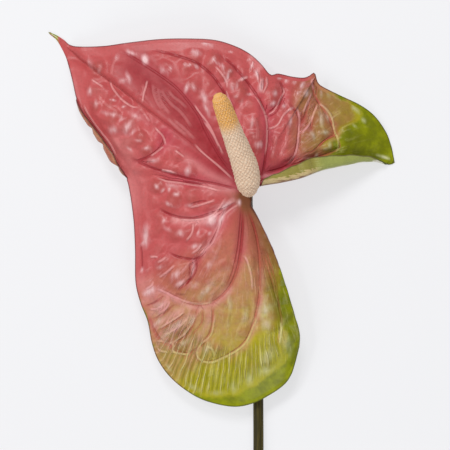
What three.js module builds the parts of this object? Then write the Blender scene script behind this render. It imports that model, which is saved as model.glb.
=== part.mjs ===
// A cut anthurium that lies on its back: a stem, a waved spathe and a spadix of florets.
// Millimetres, +Z up. The flower head lies in the XY plane and the stem runs off towards -Y.
import * as THREE from 'three';

// Stem
const STEM_RADIUS = 2.55;
const STEM_SIDES = 16;
const STEM_RINGS_PER_SPAN = 4;
const STEM_CUT_LEAN = 0.45;
const STEM_REST_HEIGHT = 2.35;
const NECK_RADIUS = 2.75;
const HUB_RADIUS = 3.1;
const HUB_LENGTH = 5;
const NECK_LENGTH = 40;
const HUB_TOP = 27;
const HUB_CENTRE = [-2.3, 1.2];
const STEM_PATH = [
  [3.2, -300, STEM_REST_HEIGHT], [3.2, -240, STEM_REST_HEIGHT], [3.2, -180, STEM_REST_HEIGHT],
  [3.2, -135, STEM_REST_HEIGHT], [3.1, -100, 2.6], [2.6, -60, 6], [1, -30, 10.5], [-0.8, -18, 12.8],
  [-2.3, -9, 15.6], [-2.5, -4.5, 18.1], [-2.4, -1, 21.4], [-2.3, 0.9, 24.6], [...HUB_CENTRE, HUB_TOP],
];

// Spathe: outline of the blade seen from above, from the right lobe's tip over the top to the long tip
const TOP_MARGIN = [
  [71.5, 12.5], [70.8, 16.5], [69.5, 22.5], [66.5, 29.5], [61, 37], [54, 42.25], [44, 47],
  [35, 51.5], [32.6, 53.8], [31, 58.25], [28.5, 56.75], [25.5, 55.75], [20, 56.25], [13, 57.75],
  [9, 57.25], [4.5, 62.5], [-1, 67.5], [-8.5, 71.5], [-18.5, 74.5], [-31, 75.25], [-46, 75],
  [-62, 73.25], [-73.5, 71.75], [-86, 71.5], [-91, 72.5], [-94, 75], [-98, 77.5], [-102, 79],
];
// and on from the long tip down the left side and round the lower lobe
const LEFT_MARGIN = [
  [-102, 79], [-98.5, 76], [-95.5, 71.5], [-92.5, 65], [-90, 56], [-87, 43], [-84.25, 37],
  [-76, 24.5], [-68, 12.5], [-63, 6.25], [-61, -0.5], [-59, -15], [-58.25, -30], [-58, -46],
  [-55.5, -56.5], [-52, -65.5], [-50, -76], [-47, -84.5], [-41.5, -92.5], [-33.5, -99.5],
  [-23.5, -105], [-10, -108], [0, -106.5], [9, -102], [16, -97], [19.5, -92], [21.5, -86], [23.5, -78],
];
// The two margins of the notch at the hub, from the hub outwards
const RIGHT_NOTCH = [
  [1.2, 3.4], [4, 4.6], [9, 5.5], [14, 6.3], [24, 8.6], [34, 12.2], [44, 14.5], [54, 16.5],
  [62, 16.8], [69, 15],
];
const LOWER_NOTCH = [
  [-1.1, -2.4], [-0.2, -4.5], [-0.5, -7.5], [1.4, -11], [4.5, -17], [10.5, -30], [16, -45.5],
  [20.5, -60.5], [23.4, -71], [23.3, -78],
];
const COLLAR_RADIUS = 3.9;
const COLLAR_HEIGHT = 25;
const BLADE_THICKNESS = 0.85;
const MARGIN_BAND = 2;
const BAND_SLOPE_SHARE = 0.6;
const TIP_BAND = 0.25;
const TIP_BAND_REACH = 10;
const ROLL_RADIUS = 2.5;
const FALL_POWER = 1.8;

// Height of the blade's edge above the surface it lies on: [share of the way round, height]
// (below 0 the edge is pressed flat against the surface)
const EDGE_HEIGHTS = [
  [0, -3], [0.05, 3], [0.1, 7], [0.16, 13], [0.185, 17], [0.21, 14], [0.27, 14], [0.33, 12],
  [0.38, 5], [0.405, -4], [0.42, -9], [0.44, -4], [0.47, 3], [0.52, 7], [0.6, 10], [0.7, 9],
  [0.8, 8], [0.87, 8], [0.93, 9], [1, 10],
];
const PRESSED_HEIGHT = 0.3;
const PRESS_SOFTNESS = 1;
const TIP_SHARE = 0.42;
// Share of the way round over which the blade's rays bend along with a margin of the notch
const NOTCH_PULL = 0.07;
// Rolled margins: how far the roll covers the face, along the right notch and round the outer edge
const NOTCH_ROLL = [
  [0, 0], [0.03, 0], [0.08, 3.2], [0.15, 4.5], [0.3, 6.7], [0.42, 7.6], [0.55, 6.2], [0.68, 4.7],
  [0.82, 2.7], [0.94, 0.6], [0.98, 0], [1, 0],
];
const LEFT_ROLL = [
  [0, 0], [0.5, 0], [0.52, 1], [0.533, 1.9], [0.541, 1.6], [0.556, 2.9], [0.568, 3.2],
  [0.579, 2.2], [0.586, 0.5], [0.592, 1.1], [0.599, 0], [1, 0],
];

// Grid of the blade
const TOP_COLUMNS = 40;
const LEFT_COLUMNS = 60;
const ROLL_COLUMNS = 6;
const ROWS = 24;
const BAND_ROWS = 3;

// Veins sunk into the blade: width, depth share and points seen from above
const RELIEF_HEIGHT = 2.7;
const MEAN_SHARE = 0.6;
const VEIN_FADE = 0.4;
// The relief grows over a stretch by the hub and fades over one by the margin (shares of a ray)
const RELIEF_START = 0.03;
const RELIEF_GROWTH = 0.15;
const RELIEF_END = 0.75;
const RELIEF_LOSS = 0.6;
const VEIN_WIDENING = 1.2;
const HUB_NARROWING = 0.6;
const HUB_NARROWING_REACH = 30;
const VEINS = [
  { width: 5, depth: 0.95, points: [[-8, 2], [-21, 10], [-33.5, 19.5], [-43, 28], [-55, 37.5],
    [-67, 46], [-76, 53.5], [-85, 62.5], [-93, 70], [-97.5, 76]] },
  { width: 3.5, depth: 0.8, points: [[-9, 7], [-15, 15], [-19.5, 22.5], [-23.5, 30], [-27, 37.5],
    [-35, 48], [-41, 53.5], [-51, 60.5], [-62, 67.5], [-67, 70]] },
  { width: 3, depth: 0.7, points: [[-4, 6], [-7, 20], [-8, 32], [-10, 42], [-15, 50], [-20, 57],
    [-27.5, 63], [-37, 66.5], [-51, 70]] },
  { width: 3.5, depth: 0.8, points: [[1, 6], [5, 8], [7, 21], [7.5, 29], [6.5, 37], [3.5, 45],
    [-4, 55.5], [-12, 64], [-17, 67]] },
  { width: 2.5, depth: 0.6, points: [[8, 38], [13.5, 43], [15.5, 49.5], [13.5, 54]] },
  { width: 3, depth: 0.75, points: [[5, 8], [15.5, 11], [20, 15], [22, 21.5], [23, 30], [23, 36],
    [18, 44]] },
  { width: 3, depth: 0.85, points: [[15.5, 11], [24, 13.5], [42, 20], [42.5, 25], [39.5, 32.5],
    [34.5, 41.5], [30.5, 47.5], [30.5, 57]] },
  { width: 2.2, depth: 0.55, points: [[41, 27.5], [36.5, 25], [33, 21.5]] },
  { width: 2.2, depth: 0.55, points: [[24, 32.5], [26.5, 37.5], [28.5, 45]] },
  { width: 2.2, depth: 0.55, points: [[29, 30], [30.5, 37.5], [32, 43]] },
  { width: 3, depth: 0.7, points: [[-43, 27], [-45, 22], [-50.5, 17], [-58, 14]] },
  { width: 3, depth: 0.7, points: [[-6, 0], [-18.5, 3], [-31, 5.5], [-43.5, 9], [-53.5, 12.5],
    [-61, 16.5]] },
  { width: 2.5, depth: 0.6, points: [[-23.5, 2], [-31, 3], [-38.5, 4], [-47.5, 5.5]] },
  { width: 3, depth: 0.75, points: [[-6, -5], [-12, -8.5], [-18.5, -11], [-28.5, -14],
    [-38.5, -13], [-47, -9]] },
  { width: 3, depth: 0.75, points: [[-6, -6.5], [-13.5, -11], [-16.5, -19], [-21, -27],
    [-27, -34], [-36, -33.5], [-42, -31]] },
  { width: 2.5, depth: 0.6, points: [[-27.5, -36], [-31, -44.5], [-37, -50]] },
  { width: 3.5, depth: 0.9, points: [[-4.5, -8.5], [-5, -22.5], [-7, -37.5], [-11.5, -48.5],
    [-18.5, -55], [-28.5, -57], [-38.5, -53], [-46, -49]] },
  { width: 3.5, depth: 0.8, points: [[-3, -7.5], [2, -22.5], [3.75, -37.5], [3.5, -52.5],
    [1, -65], [-3.5, -75.5], [-11, -81.5], [-20, -85.5], [-27, -84.5], [-31, -81]] },
  { width: 3, depth: 0.5, points: [[6, -32], [12.5, -55], [14.5, -65], [13, -77.5]] },
  { width: 2.5, depth: 0.65, points: [[-51, -65], [-46, -74], [-40, -76], [-32, -72],
    [-27.5, -61], [-27, -58]] },
  { width: 2.5, depth: 0.65, points: [[-40, -77.5], [-33.5, -81.5], [-26, -78], [-20, -69],
    [-19.5, -57]] },
];

// Blisters between the veins, where the blade swells: place and radius
const BLISTER_HEIGHT = 1.5;
const BLISTER_SPREAD = 1.25;
const BLISTERS = [
  [-77.5, 62.5, 4.5], [-68, 66, 4], [-63, 55.5, 5], [-59, 68, 4], [-53.5, 65, 4], [-44, 60, 4.5],
  [-29, 67.5, 4.5], [-30.5, 62, 3], [-80.5, 49.5, 4.5], [-77.5, 42.5, 4], [-69.5, 45, 3.5],
  [-70, 37.5, 6], [-61, 33, 6.5], [-68.5, 31.5, 5], [-57, 25, 4.5], [-52.5, 21, 4],
  [-63.5, 21.5, 5], [-48.5, 14.5, 5], [-40.5, 9.5, 4], [-32, 9.5, 4.5], [-31, 50, 4.5],
  [-19.5, 64, 4], [-14, 57.5, 4], [-24.5, 73.5, 3.5], [-9.5, 52.5, 4], [-4.5, 55, 3.5],
  [-6, 47.5, 4], [3, 22, 4.5], [16.5, 54, 3.5], [10.5, 47.5, 4.5], [10, 43.5, 3], [25, 51, 4],
  [26.5, 46.5, 3.5], [35.5, 35, 4.5], [39, 21.5, 3.5], [29.5, 28.5, 3], [34, 28.5, 3],
  [30.5, 15, 3], [-44.5, -17.5, 3.5], [-36, -21.5, 5], [-47, 1.5, 3.5], [-38, -2.5, 4],
  [-41, -7.5, 5], [-31, -2.5, 5], [-53.5, -21, 5], [-36, -42.5, 5], [-34.5, -47.5, 4],
  [-51, -51.5, 5], [-43.5, -36, 4], [-42, -41, 4], [-23.5, -42.5, 6], [-18.5, -25, 4],
  [-26, -25, 4], [6.5, -57.5, 5], [9, -65, 5], [16.5, -75, 5], [6.5, -85, 4.5],
  [-18.5, -77.5, 4.5], [-38.5, -67.5, 5], [-46, -57.5, 4.5], [-25.5, -49, 4],
];

// Spadix: centre line from its rounded foot to its tip, and its radius along it
const SPADIX_LINE = [
  [-0.9, -3.2, 28.6], [-1.8, 0.8, 31.4], [-3.2, 10, 37], [-6.8, 20, 43], [-10.7, 30, 49.2],
  [-14.4, 40, 55.6], [-17.4, 47, 60],
];
const SPADIX_RADII = [
  [0, 0.02], [0.02, 2.2], [0.05, 3.7], [0.1, 5.2], [0.17, 6], [0.28, 6.1], [0.45, 5.5], [0.6, 4.9],
  [0.75, 4.5], [0.88, 4.1], [0.94, 3.4], [0.98, 2.1], [1, 0.02],
];
const SPADIX_SEAT_GAP = 0.3;
const FLORET_ROWS = 27;
const FLORETS_AROUND = 18;
const FLORET_HEIGHT = 0.5;

const MATERIALS = {
  stem: { color: 0x46401f, roughness: 0.55, metalness: 0 },
  spathe: { color: 0xc8555f, roughness: 0.3, metalness: 0 },
  spadix: { color: 0xe4cdac, roughness: 0.6, metalness: 0 },
};

/** Smooth curve through points. */
function smoothCurve(points) {
  const vectors = points.map((p) => new THREE.Vector3(p[0], p[1], p[2] ?? 0));
  return new THREE.CatmullRomCurve3(vectors, false, 'catmullrom', 0.5);
}

/** Smooth line through points, as count + 1 evenly spaced points. */
function smoothLine(points, count) {
  const curve = smoothCurve(points);
  curve.arcLengthDivisions = points.length * 40;
  return curve.getSpacedPoints(count);
}

/** Value of a table of [place, value] pairs at a place, smoothed between the pairs. */
function lookUp(table, place) {
  const last = table.length - 1;
  if (place <= table[0][0]) return table[0][1];
  if (place >= table[last][0]) return table[last][1];
  const next = table.findIndex((pair) => pair[0] > place);
  const [x0, y0] = table[next - 1];
  const [x1, y1] = table[next];
  const share = (place - x0) / (x1 - x0);
  return y0 + (y1 - y0) * share * share * (3 - 2 * share);
}

/** One closed mesh from vertices, triangles and the name of its material. */
function makeMesh(name, vertices, triangles) {
  const geometry = new THREE.BufferGeometry();
  geometry.setAttribute('position', new THREE.Float32BufferAttribute(vertices.flat(), 3));
  geometry.setIndex(triangles.flat());
  geometry.computeVertexNormals();
  const mesh = new THREE.Mesh(geometry, new THREE.MeshStandardMaterial(MATERIALS[name]));
  mesh.name = name;
  return mesh;
}

/** Two triangles for a grid cell, cut across from a to c. */
function cell(a, b, c, d) {
  return [[a, b, c], [a, c, d]];
}

/** Radius of the stem at a distance from its top. */
function stemRadius(fromTop) {
  if (fromTop < HUB_LENGTH) {
    return THREE.MathUtils.lerp(HUB_RADIUS, NECK_RADIUS, fromTop / HUB_LENGTH);
  }
  const share = Math.min(1, (fromTop - HUB_LENGTH) / NECK_LENGTH);
  return THREE.MathUtils.lerp(NECK_RADIUS, STEM_RADIUS, share);
}

/** The stem: rings of points along its path, flattened where it lies, cut aslant at its lower end. */
function makeStem() {
  const rings = (STEM_PATH.length - 1) * STEM_RINGS_PER_SPAN;
  const line = smoothCurve(STEM_PATH).getPoints(rings);
  const vertices = [];
  const triangles = [];
  line.forEach((centre, i) => {
    const before = line[Math.max(0, i - 1)];
    const after = line[Math.min(rings, i + 1)];
    const along = after.clone().sub(before).normalize();
    const side = new THREE.Vector3(1, 0, 0).addScaledVector(along, -along.x).normalize();
    const over = side.clone().cross(along).normalize();
    const radius = stemRadius(centre.distanceTo(line[rings]));
    for (let k = 0; k < STEM_SIDES; k += 1) {
      const angle = (2 * Math.PI * (k + 0.5)) / STEM_SIDES;
      const point = centre.clone()
        .addScaledVector(side, radius * Math.cos(angle))
        .addScaledVector(over, radius * Math.sin(angle));
      if (i === 0) point.y += STEM_CUT_LEAN * point.z;
      if (i === rings) {
        point.addScaledVector(along, (HUB_TOP - point.z) / along.z);
      }
      vertices.push([point.x, point.y, Math.max(0, point.z)]);
    }
  });
  for (let i = 0; i < rings; i += 1) {
    for (let k = 0; k < STEM_SIDES; k += 1) {
      const next = (k + 1) % STEM_SIDES;
      const here = i * STEM_SIDES;
      const there = here + STEM_SIDES;
      triangles.push(...cell(here + k, there + k, there + next, here + next));
    }
  }
  [[0, false], [rings, true]].forEach(([ring, isTop]) => {
    const middle = vertices.length;
    const own = vertices.slice(ring * STEM_SIDES, (ring + 1) * STEM_SIDES);
    const mean = [0, 1, 2].map((axis) => own.reduce((sum, p) => sum + p[axis], 0) / STEM_SIDES);
    vertices.push(mean);
    for (let k = 0; k < STEM_SIDES; k += 1) {
      const a = ring * STEM_SIDES + k;
      const b = ring * STEM_SIDES + ((k + 1) % STEM_SIDES);
      triangles.push(isTop ? [middle, b, a] : [middle, a, b]);
    }
  });
  return makeMesh('stem', vertices, triangles);
}

/** Distance from a point to a line of points, and how far along the line the nearest place is. */
function nearest(x, y, line) {
  let best = Infinity;
  let place = 0;
  for (let i = 0; i + 1 < line.length; i += 1) {
    const a = line[i];
    const b = line[i + 1];
    const dx = b.x - a.x;
    const dy = b.y - a.y;
    const share = THREE.MathUtils.clamp(((x - a.x) * dx + (y - a.y) * dy) / (dx * dx + dy * dy), 0, 1);
    const distance = Math.hypot(x - a.x - share * dx, y - a.y - share * dy);
    if (distance < best) {
      best = distance;
      place = (i + share) / (line.length - 1);
    }
  }
  return [best, place];
}

const VEIN_LINES = VEINS.map((vein) => smoothLine(vein.points, vein.points.length * 4));

/** Share of the full relief height at a point of the blade: 0 in a vein, 1 on a panel. */
function panelShare(x, y) {
  const fromHub = Math.hypot(x - HUB_CENTRE[0], y - HUB_CENTRE[1]);
  const slim = VEIN_WIDENING * (1 - HUB_NARROWING * Math.max(0, 1 - fromHub / HUB_NARROWING_REACH));
  return VEINS.reduce((share, vein, i) => {
    const [distance, place] = nearest(x, y, VEIN_LINES[i]);
    const depth = vein.depth * (1 - VEIN_FADE * place);
    return share * (1 - depth * Math.exp(-((distance / (vein.width * slim)) ** 2)));
  }, 1);
}

/** Share of a blister's height at a point of the blade. */
function swelling(x, y) {
  return BLISTERS.reduce((share, [centreX, centreY, radius]) => {
    const away = Math.hypot(x - centreX, y - centreY) / (radius * BLISTER_SPREAD);
    return Math.max(share, Math.max(0, 1 - away ** 2) ** 1.5);
  }, 0);
}

/** Outer edge of the blade as evenly spaced points: the top margin, then the left one. */
function outerEdge() {
  const top = smoothLine(TOP_MARGIN, TOP_COLUMNS);
  const left = smoothLine(LEFT_MARGIN, LEFT_COLUMNS);
  return [...top, ...left.slice(1)];
}

/** Level unit vector that points out of the blade at each point of its edge. */
function outwardVectors(line) {
  return line.map((point, i) => {
    const before = line[Math.max(0, i - 1)];
    const after = line[Math.min(line.length - 1, i + 1)];
    const along = after.clone().sub(before).normalize();
    return new THREE.Vector3(along.y, -along.x, 0);
  });
}

/** Place across a margin band, flat or rolled up and over: [distance outwards, height]. */
function acrossBand(share, cover, band) {
  if (cover <= 0) return [share * band, 0];
  const fullTurn = Math.PI / 2 + Math.acos(1 - Math.min(cover / band, 1));
  const turn = cover < band ? fullTurn : Math.PI;
  const flap = Math.max(0, cover - band);
  const arc = band * turn;
  const run = share * (arc + flap);
  const angle = Math.min(run / band, turn);
  const rest = Math.max(0, run - arc);
  return [
    band * Math.sin(angle) + rest * Math.cos(turn),
    band * (1 - Math.cos(angle)) + rest * Math.sin(turn),
  ];
}

/** Share of the way round the outer edge for a column of the grid. */
function shareAround(column) {
  if (column <= TOP_COLUMNS) return (TIP_SHARE * column) / TOP_COLUMNS;
  return TIP_SHARE + ((1 - TIP_SHARE) * (column - TOP_COLUMNS)) / LEFT_COLUMNS;
}

/**
 * Middle surface of the blade as rows of points, with the rolled notch margin first in each row,
 * and the surface's height at the middle of a cell of the flat blade.
 */
function bladeGrid() {
  const columns = TOP_COLUMNS + LEFT_COLUMNS;
  const edge = outerEdge();
  const outward = outwardVectors(edge);
  const tip = edge[TOP_COLUMNS];
  const rightNotch = smoothLine(RIGHT_NOTCH, ROWS);
  const lowerNotch = smoothLine(LOWER_NOTCH, ROWS);
  const notchOutward = outwardVectors(rightNotch);
  const hub = new THREE.Vector3(HUB_CENTRE[0], HUB_CENTRE[1], 0);

  const bands = edge.map((point) => {
    const reach = Math.min(point.distanceTo(tip), point.distanceTo(edge[columns])) / TIP_BAND_REACH;
    return TIP_BAND + (MARGIN_BAND - TIP_BAND) * (1 - Math.exp(-(reach ** 2)));
  });
  const bases = edge.map((point, i) => point.clone().addScaledVector(outward[i], -bands[i]));
  bases[0].copy(rightNotch[ROWS]);
  bases[columns].copy(lowerNotch[ROWS]);
  const bearing = (point) => {
    const angle = Math.atan2(point.y - hub.y, point.x - hub.x);
    return angle < 0 ? angle + 2 * Math.PI : angle;
  };
  const [first, middle, last] = [0, TOP_COLUMNS, columns].map((i) => bearing(bases[i]));
  const roots = bases.map((_, i) => {
    const angle = i <= TOP_COLUMNS
      ? THREE.MathUtils.lerp(first, middle, i / TOP_COLUMNS)
      : THREE.MathUtils.lerp(middle, last, (i - TOP_COLUMNS) / LEFT_COLUMNS);
    return hub.clone().add(new THREE.Vector3(Math.cos(angle), Math.sin(angle), 0)
      .multiplyScalar(COLLAR_RADIUS));
  });

  const flat = (column, row) => {
    const share = row / ROWS;
    const u = shareAround(column);
    const point = roots[column].clone().lerp(bases[column], share);
    const rightPull = Math.exp(-((u / NOTCH_PULL) ** 2));
    const lowerPull = Math.exp(-(((1 - u) / NOTCH_PULL) ** 2));
    const rightStraight = roots[0].clone().lerp(bases[0], share);
    const lowerStraight = roots[columns].clone().lerp(bases[columns], share);
    point.addScaledVector(rightNotch[row].clone().sub(rightStraight), rightPull);
    point.addScaledVector(lowerNotch[row].clone().sub(lowerStraight), lowerPull);
    return point;
  };

  const height = (column, row, x, y) => {
    const share = row / ROWS;
    const u = shareAround(column);
    const rim = lookUp(EDGE_HEIGHTS, u);
    const macro = COLLAR_HEIGHT + (rim - COLLAR_HEIGHT) * share ** FALL_POWER;
    const inner = THREE.MathUtils.clamp((share - RELIEF_START) / RELIEF_GROWTH, 0, 1);
    const outer = 1 - RELIEF_LOSS * Math.max(0, (share - RELIEF_END) / (1 - RELIEF_END));
    const panel = panelShare(x, y);
    const relief = RELIEF_HEIGHT * inner * outer * (panel - MEAN_SHARE);
    const free = macro + relief + BLISTER_HEIGHT * panel * swelling(x, y) - PRESSED_HEIGHT;
    return PRESSED_HEIGHT + (free + Math.hypot(free, PRESS_SOFTNESS)) / 2;
  };

  const slopes = edge.map((_, column) => {
    const rim = flat(column, ROWS);
    const inner = flat(column, ROWS - 1);
    const rise = height(column, ROWS, rim.x, rim.y) - height(column, ROWS - 1, inner.x, inner.y);
    return rise / rim.distanceTo(inner);
  });

  const grid = [];
  for (let row = 0; row <= ROWS + BAND_ROWS; row += 1) {
    const inside = Math.min(row, ROWS);
    const bandShare = Math.max(0, row - ROWS) / BAND_ROWS;
    const line = [];
    for (let column = -ROLL_COLUMNS; column <= columns; column += 1) {
      const own = Math.max(column, 0);
      const point = flat(own, inside);
      point.z = height(own, inside, point.x, point.y);
      if (bandShare > 0) {
        const cover = lookUp(LEFT_ROLL, shareAround(own));
        const [out, up] = acrossBand(bandShare, cover, bands[own]);
        point.addScaledVector(outward[own], out);
        point.z = Math.max(PRESSED_HEIGHT, point.z + up + BAND_SLOPE_SHARE * slopes[own] * out);
      }
      if (column < 0) {
        const cover = lookUp(NOTCH_ROLL, inside / ROWS);
        const [out, up] = acrossBand(-column / ROLL_COLUMNS, cover, ROLL_RADIUS);
        point.addScaledVector(notchOutward[inside], out);
        point.z += up;
      }
      line.push(point);
    }
    grid.push(line);
  }

  const middleHeight = (row, column) => {
    const own = column - ROLL_COLUMNS;
    if (own < 0 || row >= ROWS) return null;
    const corners = [grid[row][column], grid[row][column + 1], grid[row + 1][column],
      grid[row + 1][column + 1]];
    const [x, y] = ['x', 'y'].map((axis) => corners.reduce((sum, p) => sum + p[axis], 0) / 4);
    return height(own + 0.5, row + 0.5, x, y);
  };
  return [grid, middleHeight];
}

/** Unit normals of a grid of points, upwards on the flat of the blade. */
function gridNormals(grid) {
  return grid.map((line, row) => line.map((point, column) => {
    const before = grid[Math.max(0, row - 1)][column];
    const after = grid[Math.min(grid.length - 1, row + 1)][column];
    const left = line[Math.max(0, column - 1)];
    const right = line[Math.min(line.length - 1, column + 1)];
    const outwards = after.clone().sub(before);
    const around = right.clone().sub(left);
    return outwards.cross(around).normalize();
  }));
}

/** Whether a cell follows the surface better when it is cut from its second to its fourth corner. */
function isCutOtherWay(corners, grid, middle) {
  if (middle === null) return false;
  const [a, b, c, d] = corners.map(([row, column]) => grid[row][column].z);
  return Math.abs((b + d) / 2 - middle) < Math.abs((a + c) / 2 - middle);
}

/** The spathe: the middle surface thickened to both sides and closed round its edge. */
function makeSpathe() {
  const [grid, middleHeight] = bladeGrid();
  const normals = gridNormals(grid);
  const rows = grid.length;
  const columns = grid[0].length;
  const vertices = [];
  const triangles = [];
  [0.5, -0.5].forEach((side) => {
    grid.forEach((line, row) => line.forEach((point, column) => {
      const moved = point.clone().addScaledVector(normals[row][column], side * BLADE_THICKNESS);
      vertices.push([moved.x, moved.y, Math.max(0, moved.z)]);
    }));
  });
  const top = (row, column) => row * columns + column;
  const under = (row, column) => rows * columns + row * columns + column;
  for (let row = 0; row + 1 < rows; row += 1) {
    for (let column = 0; column + 1 < columns; column += 1) {
      const corners = [[row, column], [row + 1, column], [row + 1, column + 1], [row, column + 1]];
      if (isCutOtherWay(corners, grid, middleHeight(row, column))) corners.push(corners.shift());
      triangles.push(...cell(...corners.map((corner) => top(...corner))));
      triangles.push(...cell(...corners.map((corner) => under(...corner)))
        .map(([i, j, k]) => [i, k, j]));
    }
  }
  const edge = [];
  for (let row = 0; row < rows; row += 1) edge.push([row, 0]);
  for (let column = 1; column < columns; column += 1) edge.push([rows - 1, column]);
  for (let row = rows - 2; row >= 0; row -= 1) edge.push([row, columns - 1]);
  for (let column = columns - 2; column > 0; column -= 1) edge.push([0, column]);
  edge.forEach((a, i) => {
    const b = edge[(i + 1) % edge.length];
    triangles.push(...cell(top(...a), under(...a), under(...b), top(...b)));
  });
  return makeMesh('spathe', vertices, triangles);
}

/** The spadix: a tapering body whose skin is a lattice of small four-sided florets. */
function makeSpadix() {
  const line = smoothLine(SPADIX_LINE, FLORET_ROWS * 2);
  const steps = line.length - 1;
  const seat = HUB_TOP + SPADIX_SEAT_GAP;
  const at = (step, turn, lift) => {
    const centre = line[step];
    const along = line[Math.min(steps, step + 1)].clone().sub(line[Math.max(0, step - 1)]).normalize();
    const side = new THREE.Vector3(along.y, -along.x, 0).normalize();
    const over = side.clone().cross(along).normalize();
    const radius = lookUp(SPADIX_RADII, step / steps) + lift;
    const point = centre.clone()
      .addScaledVector(side, radius * Math.cos(turn))
      .addScaledVector(over, radius * Math.sin(turn));
    return [point.x, point.y, Math.max(seat, point.z)];
  };
  const vertices = [];
  const triangles = [];
  const index = (row, k) => row * FLORETS_AROUND + ((k + FLORETS_AROUND) % FLORETS_AROUND);
  const rows = FLORET_ROWS * 2 - 1;
  for (let row = 0; row < rows; row += 1) {
    const shift = row % 2 ? 0.5 : 0;
    for (let k = 0; k < FLORETS_AROUND; k += 1) {
      vertices.push(at(row + 1, (2 * Math.PI * (k + shift)) / FLORETS_AROUND, 0));
    }
  }
  for (let row = 1; row + 1 < rows; row += 1) {
    const odd = row % 2;
    for (let k = 0; k < FLORETS_AROUND; k += 1) {
      const left = index(row, k);
      const right = index(row, k + 1);
      const low = index(row - 1, k + odd);
      const high = index(row + 1, k + odd);
      const share = (k + 0.5 + odd / 2) / FLORETS_AROUND;
      const peak = vertices.length;
      vertices.push(at(row + 1, 2 * Math.PI * share, FLORET_HEIGHT));
      triangles.push([low, left, peak], [right, low, peak], [high, right, peak], [left, high, peak]);
    }
  }
  const foot = vertices.length;
  vertices.push(at(0, 0, 0));
  const tip = vertices.length;
  vertices.push(at(steps, 0, 0));
  for (let k = 0; k < FLORETS_AROUND; k += 1) {
    const lastOdd = (rows - 1) % 2;
    triangles.push([foot, index(0, k), index(0, k + 1)]);
    triangles.push([index(0, k + 1), index(0, k), index(1, k)]);
    triangles.push([tip, index(rows - 1, k + 1), index(rows - 1, k)]);
    triangles.push([index(rows - 1, k), index(rows - 1, k + 1), index(rows - 2, k + lastOdd)]);
  }
  return makeMesh('spadix', vertices, triangles);
}

const flower = new THREE.Group();
flower.name = 'cut_anthurium';
flower.add(makeStem(), makeSpathe(), makeSpadix());

// The origin lies on the surface, under the middle of the whole flower
const box = new THREE.Box3().setFromObject(flower);
flower.children.forEach((mesh) => {
  mesh.geometry.translate(-(box.min.x + box.max.x) / 2, -(box.min.y + box.max.y) / 2, -box.min.z);
});

export default flower;
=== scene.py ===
"""A cut anthurium that lies on its back, seen from straight above.

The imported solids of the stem, the spathe and the spadix are loaded as the frame. Each is
replaced by a finer piece of the same form, and each piece is dressed with its own finish.
Lengths in the tables are millimetres on the drawing of the flower head, whose zero lies at
the hub. The frame is in metres.
"""

import logging
import math
from dataclasses import dataclass, field
from functools import cached_property

import bpy
import numpy as np
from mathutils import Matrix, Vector


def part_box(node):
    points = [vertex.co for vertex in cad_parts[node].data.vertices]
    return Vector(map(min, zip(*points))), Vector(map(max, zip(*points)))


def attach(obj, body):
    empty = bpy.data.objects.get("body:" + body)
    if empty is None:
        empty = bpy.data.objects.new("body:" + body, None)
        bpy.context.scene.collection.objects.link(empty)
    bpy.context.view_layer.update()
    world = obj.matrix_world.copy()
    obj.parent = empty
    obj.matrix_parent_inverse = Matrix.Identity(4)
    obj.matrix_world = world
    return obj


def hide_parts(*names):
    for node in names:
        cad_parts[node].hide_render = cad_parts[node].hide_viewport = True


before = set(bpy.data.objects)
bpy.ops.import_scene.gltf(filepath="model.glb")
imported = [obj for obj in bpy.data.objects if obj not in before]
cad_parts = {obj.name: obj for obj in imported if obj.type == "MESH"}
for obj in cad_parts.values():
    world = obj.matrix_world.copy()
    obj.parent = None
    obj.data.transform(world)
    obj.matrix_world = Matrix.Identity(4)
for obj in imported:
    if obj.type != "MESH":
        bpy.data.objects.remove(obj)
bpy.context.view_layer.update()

log = logging.getLogger("anthurium")

MM = 0.001
ROOT = "root"
SAMPLES_PER_SPAN = 40
STEPS_PER_POINT = 4
RIPPLE_WAVES = 9
FAR_OFF = 3.0

Array = np.ndarray
Table = list[tuple[float, float]]


# Curves and tables


def catmull_rom(points: list, per_span: int) -> Array:
    """Samples a smooth curve through points.

    Args:
        points: two or more points of two or three numbers.
        per_span: samples between two neighbouring points.

    Returns:
        The samples as rows, the last point included.
    """
    given = np.array(points, float)
    before, after = 2 * given[:1] - given[1:2], 2 * given[-1:] - given[-2:-1]
    knots = np.concatenate([before, given, after])
    share = (np.arange(per_span) / per_span)[:, None]
    spans = []
    for a, b, c, d in zip(knots, knots[1:], knots[2:], knots[3:]):
        bend = 2 * a - 5 * b + 4 * c - d
        twist = 3 * b - a - 3 * c + d
        spans.append((2 * b + (c - a) * share + bend * share**2 + twist * share**3) / 2)
    return np.concatenate([*spans, given[-1:]])


def evenly(points: list, count: int) -> Array:
    """Samples a smooth curve at equal steps of its length.

    Args:
        points: the curve's points.
        count: number of steps.

    Returns:
        count + 1 rows.
    """
    line = catmull_rom(points, SAMPLES_PER_SPAN)
    steps = np.linalg.norm(np.diff(line, axis=0), axis=1)
    place = np.concatenate([[0], np.cumsum(steps)])
    wanted = np.linspace(0, place[-1], count + 1)
    return np.stack([np.interp(wanted, place, line[:, k]) for k in range(line.shape[1])], axis=1)


def unit(rows: Array) -> Array:
    """Brings each row to a length of 1."""
    return rows / np.linalg.norm(rows, axis=1, keepdims=True)


def smooth_step(values: Array, low: float, high: float) -> Array:
    """Rises smoothly from 0 at low to 1 at high."""
    share = np.clip((values - low) / (high - low), 0, 1)
    return share * share * (3 - 2 * share)


def window(values: Array, start: float, full: float, fade: float, end: float) -> Array:
    """Rises smoothly from 0 at start to 1 at full, and falls from 1 at fade to 0 at end."""
    return smooth_step(values, start, full) * (1 - smooth_step(values, fade, end))


def bell(distance: Array, width: float, power: int = 2) -> Array:
    """Falls from 1 at no distance to about a third at the width, later with more power."""
    return np.exp(-((distance / width) ** power))


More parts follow.
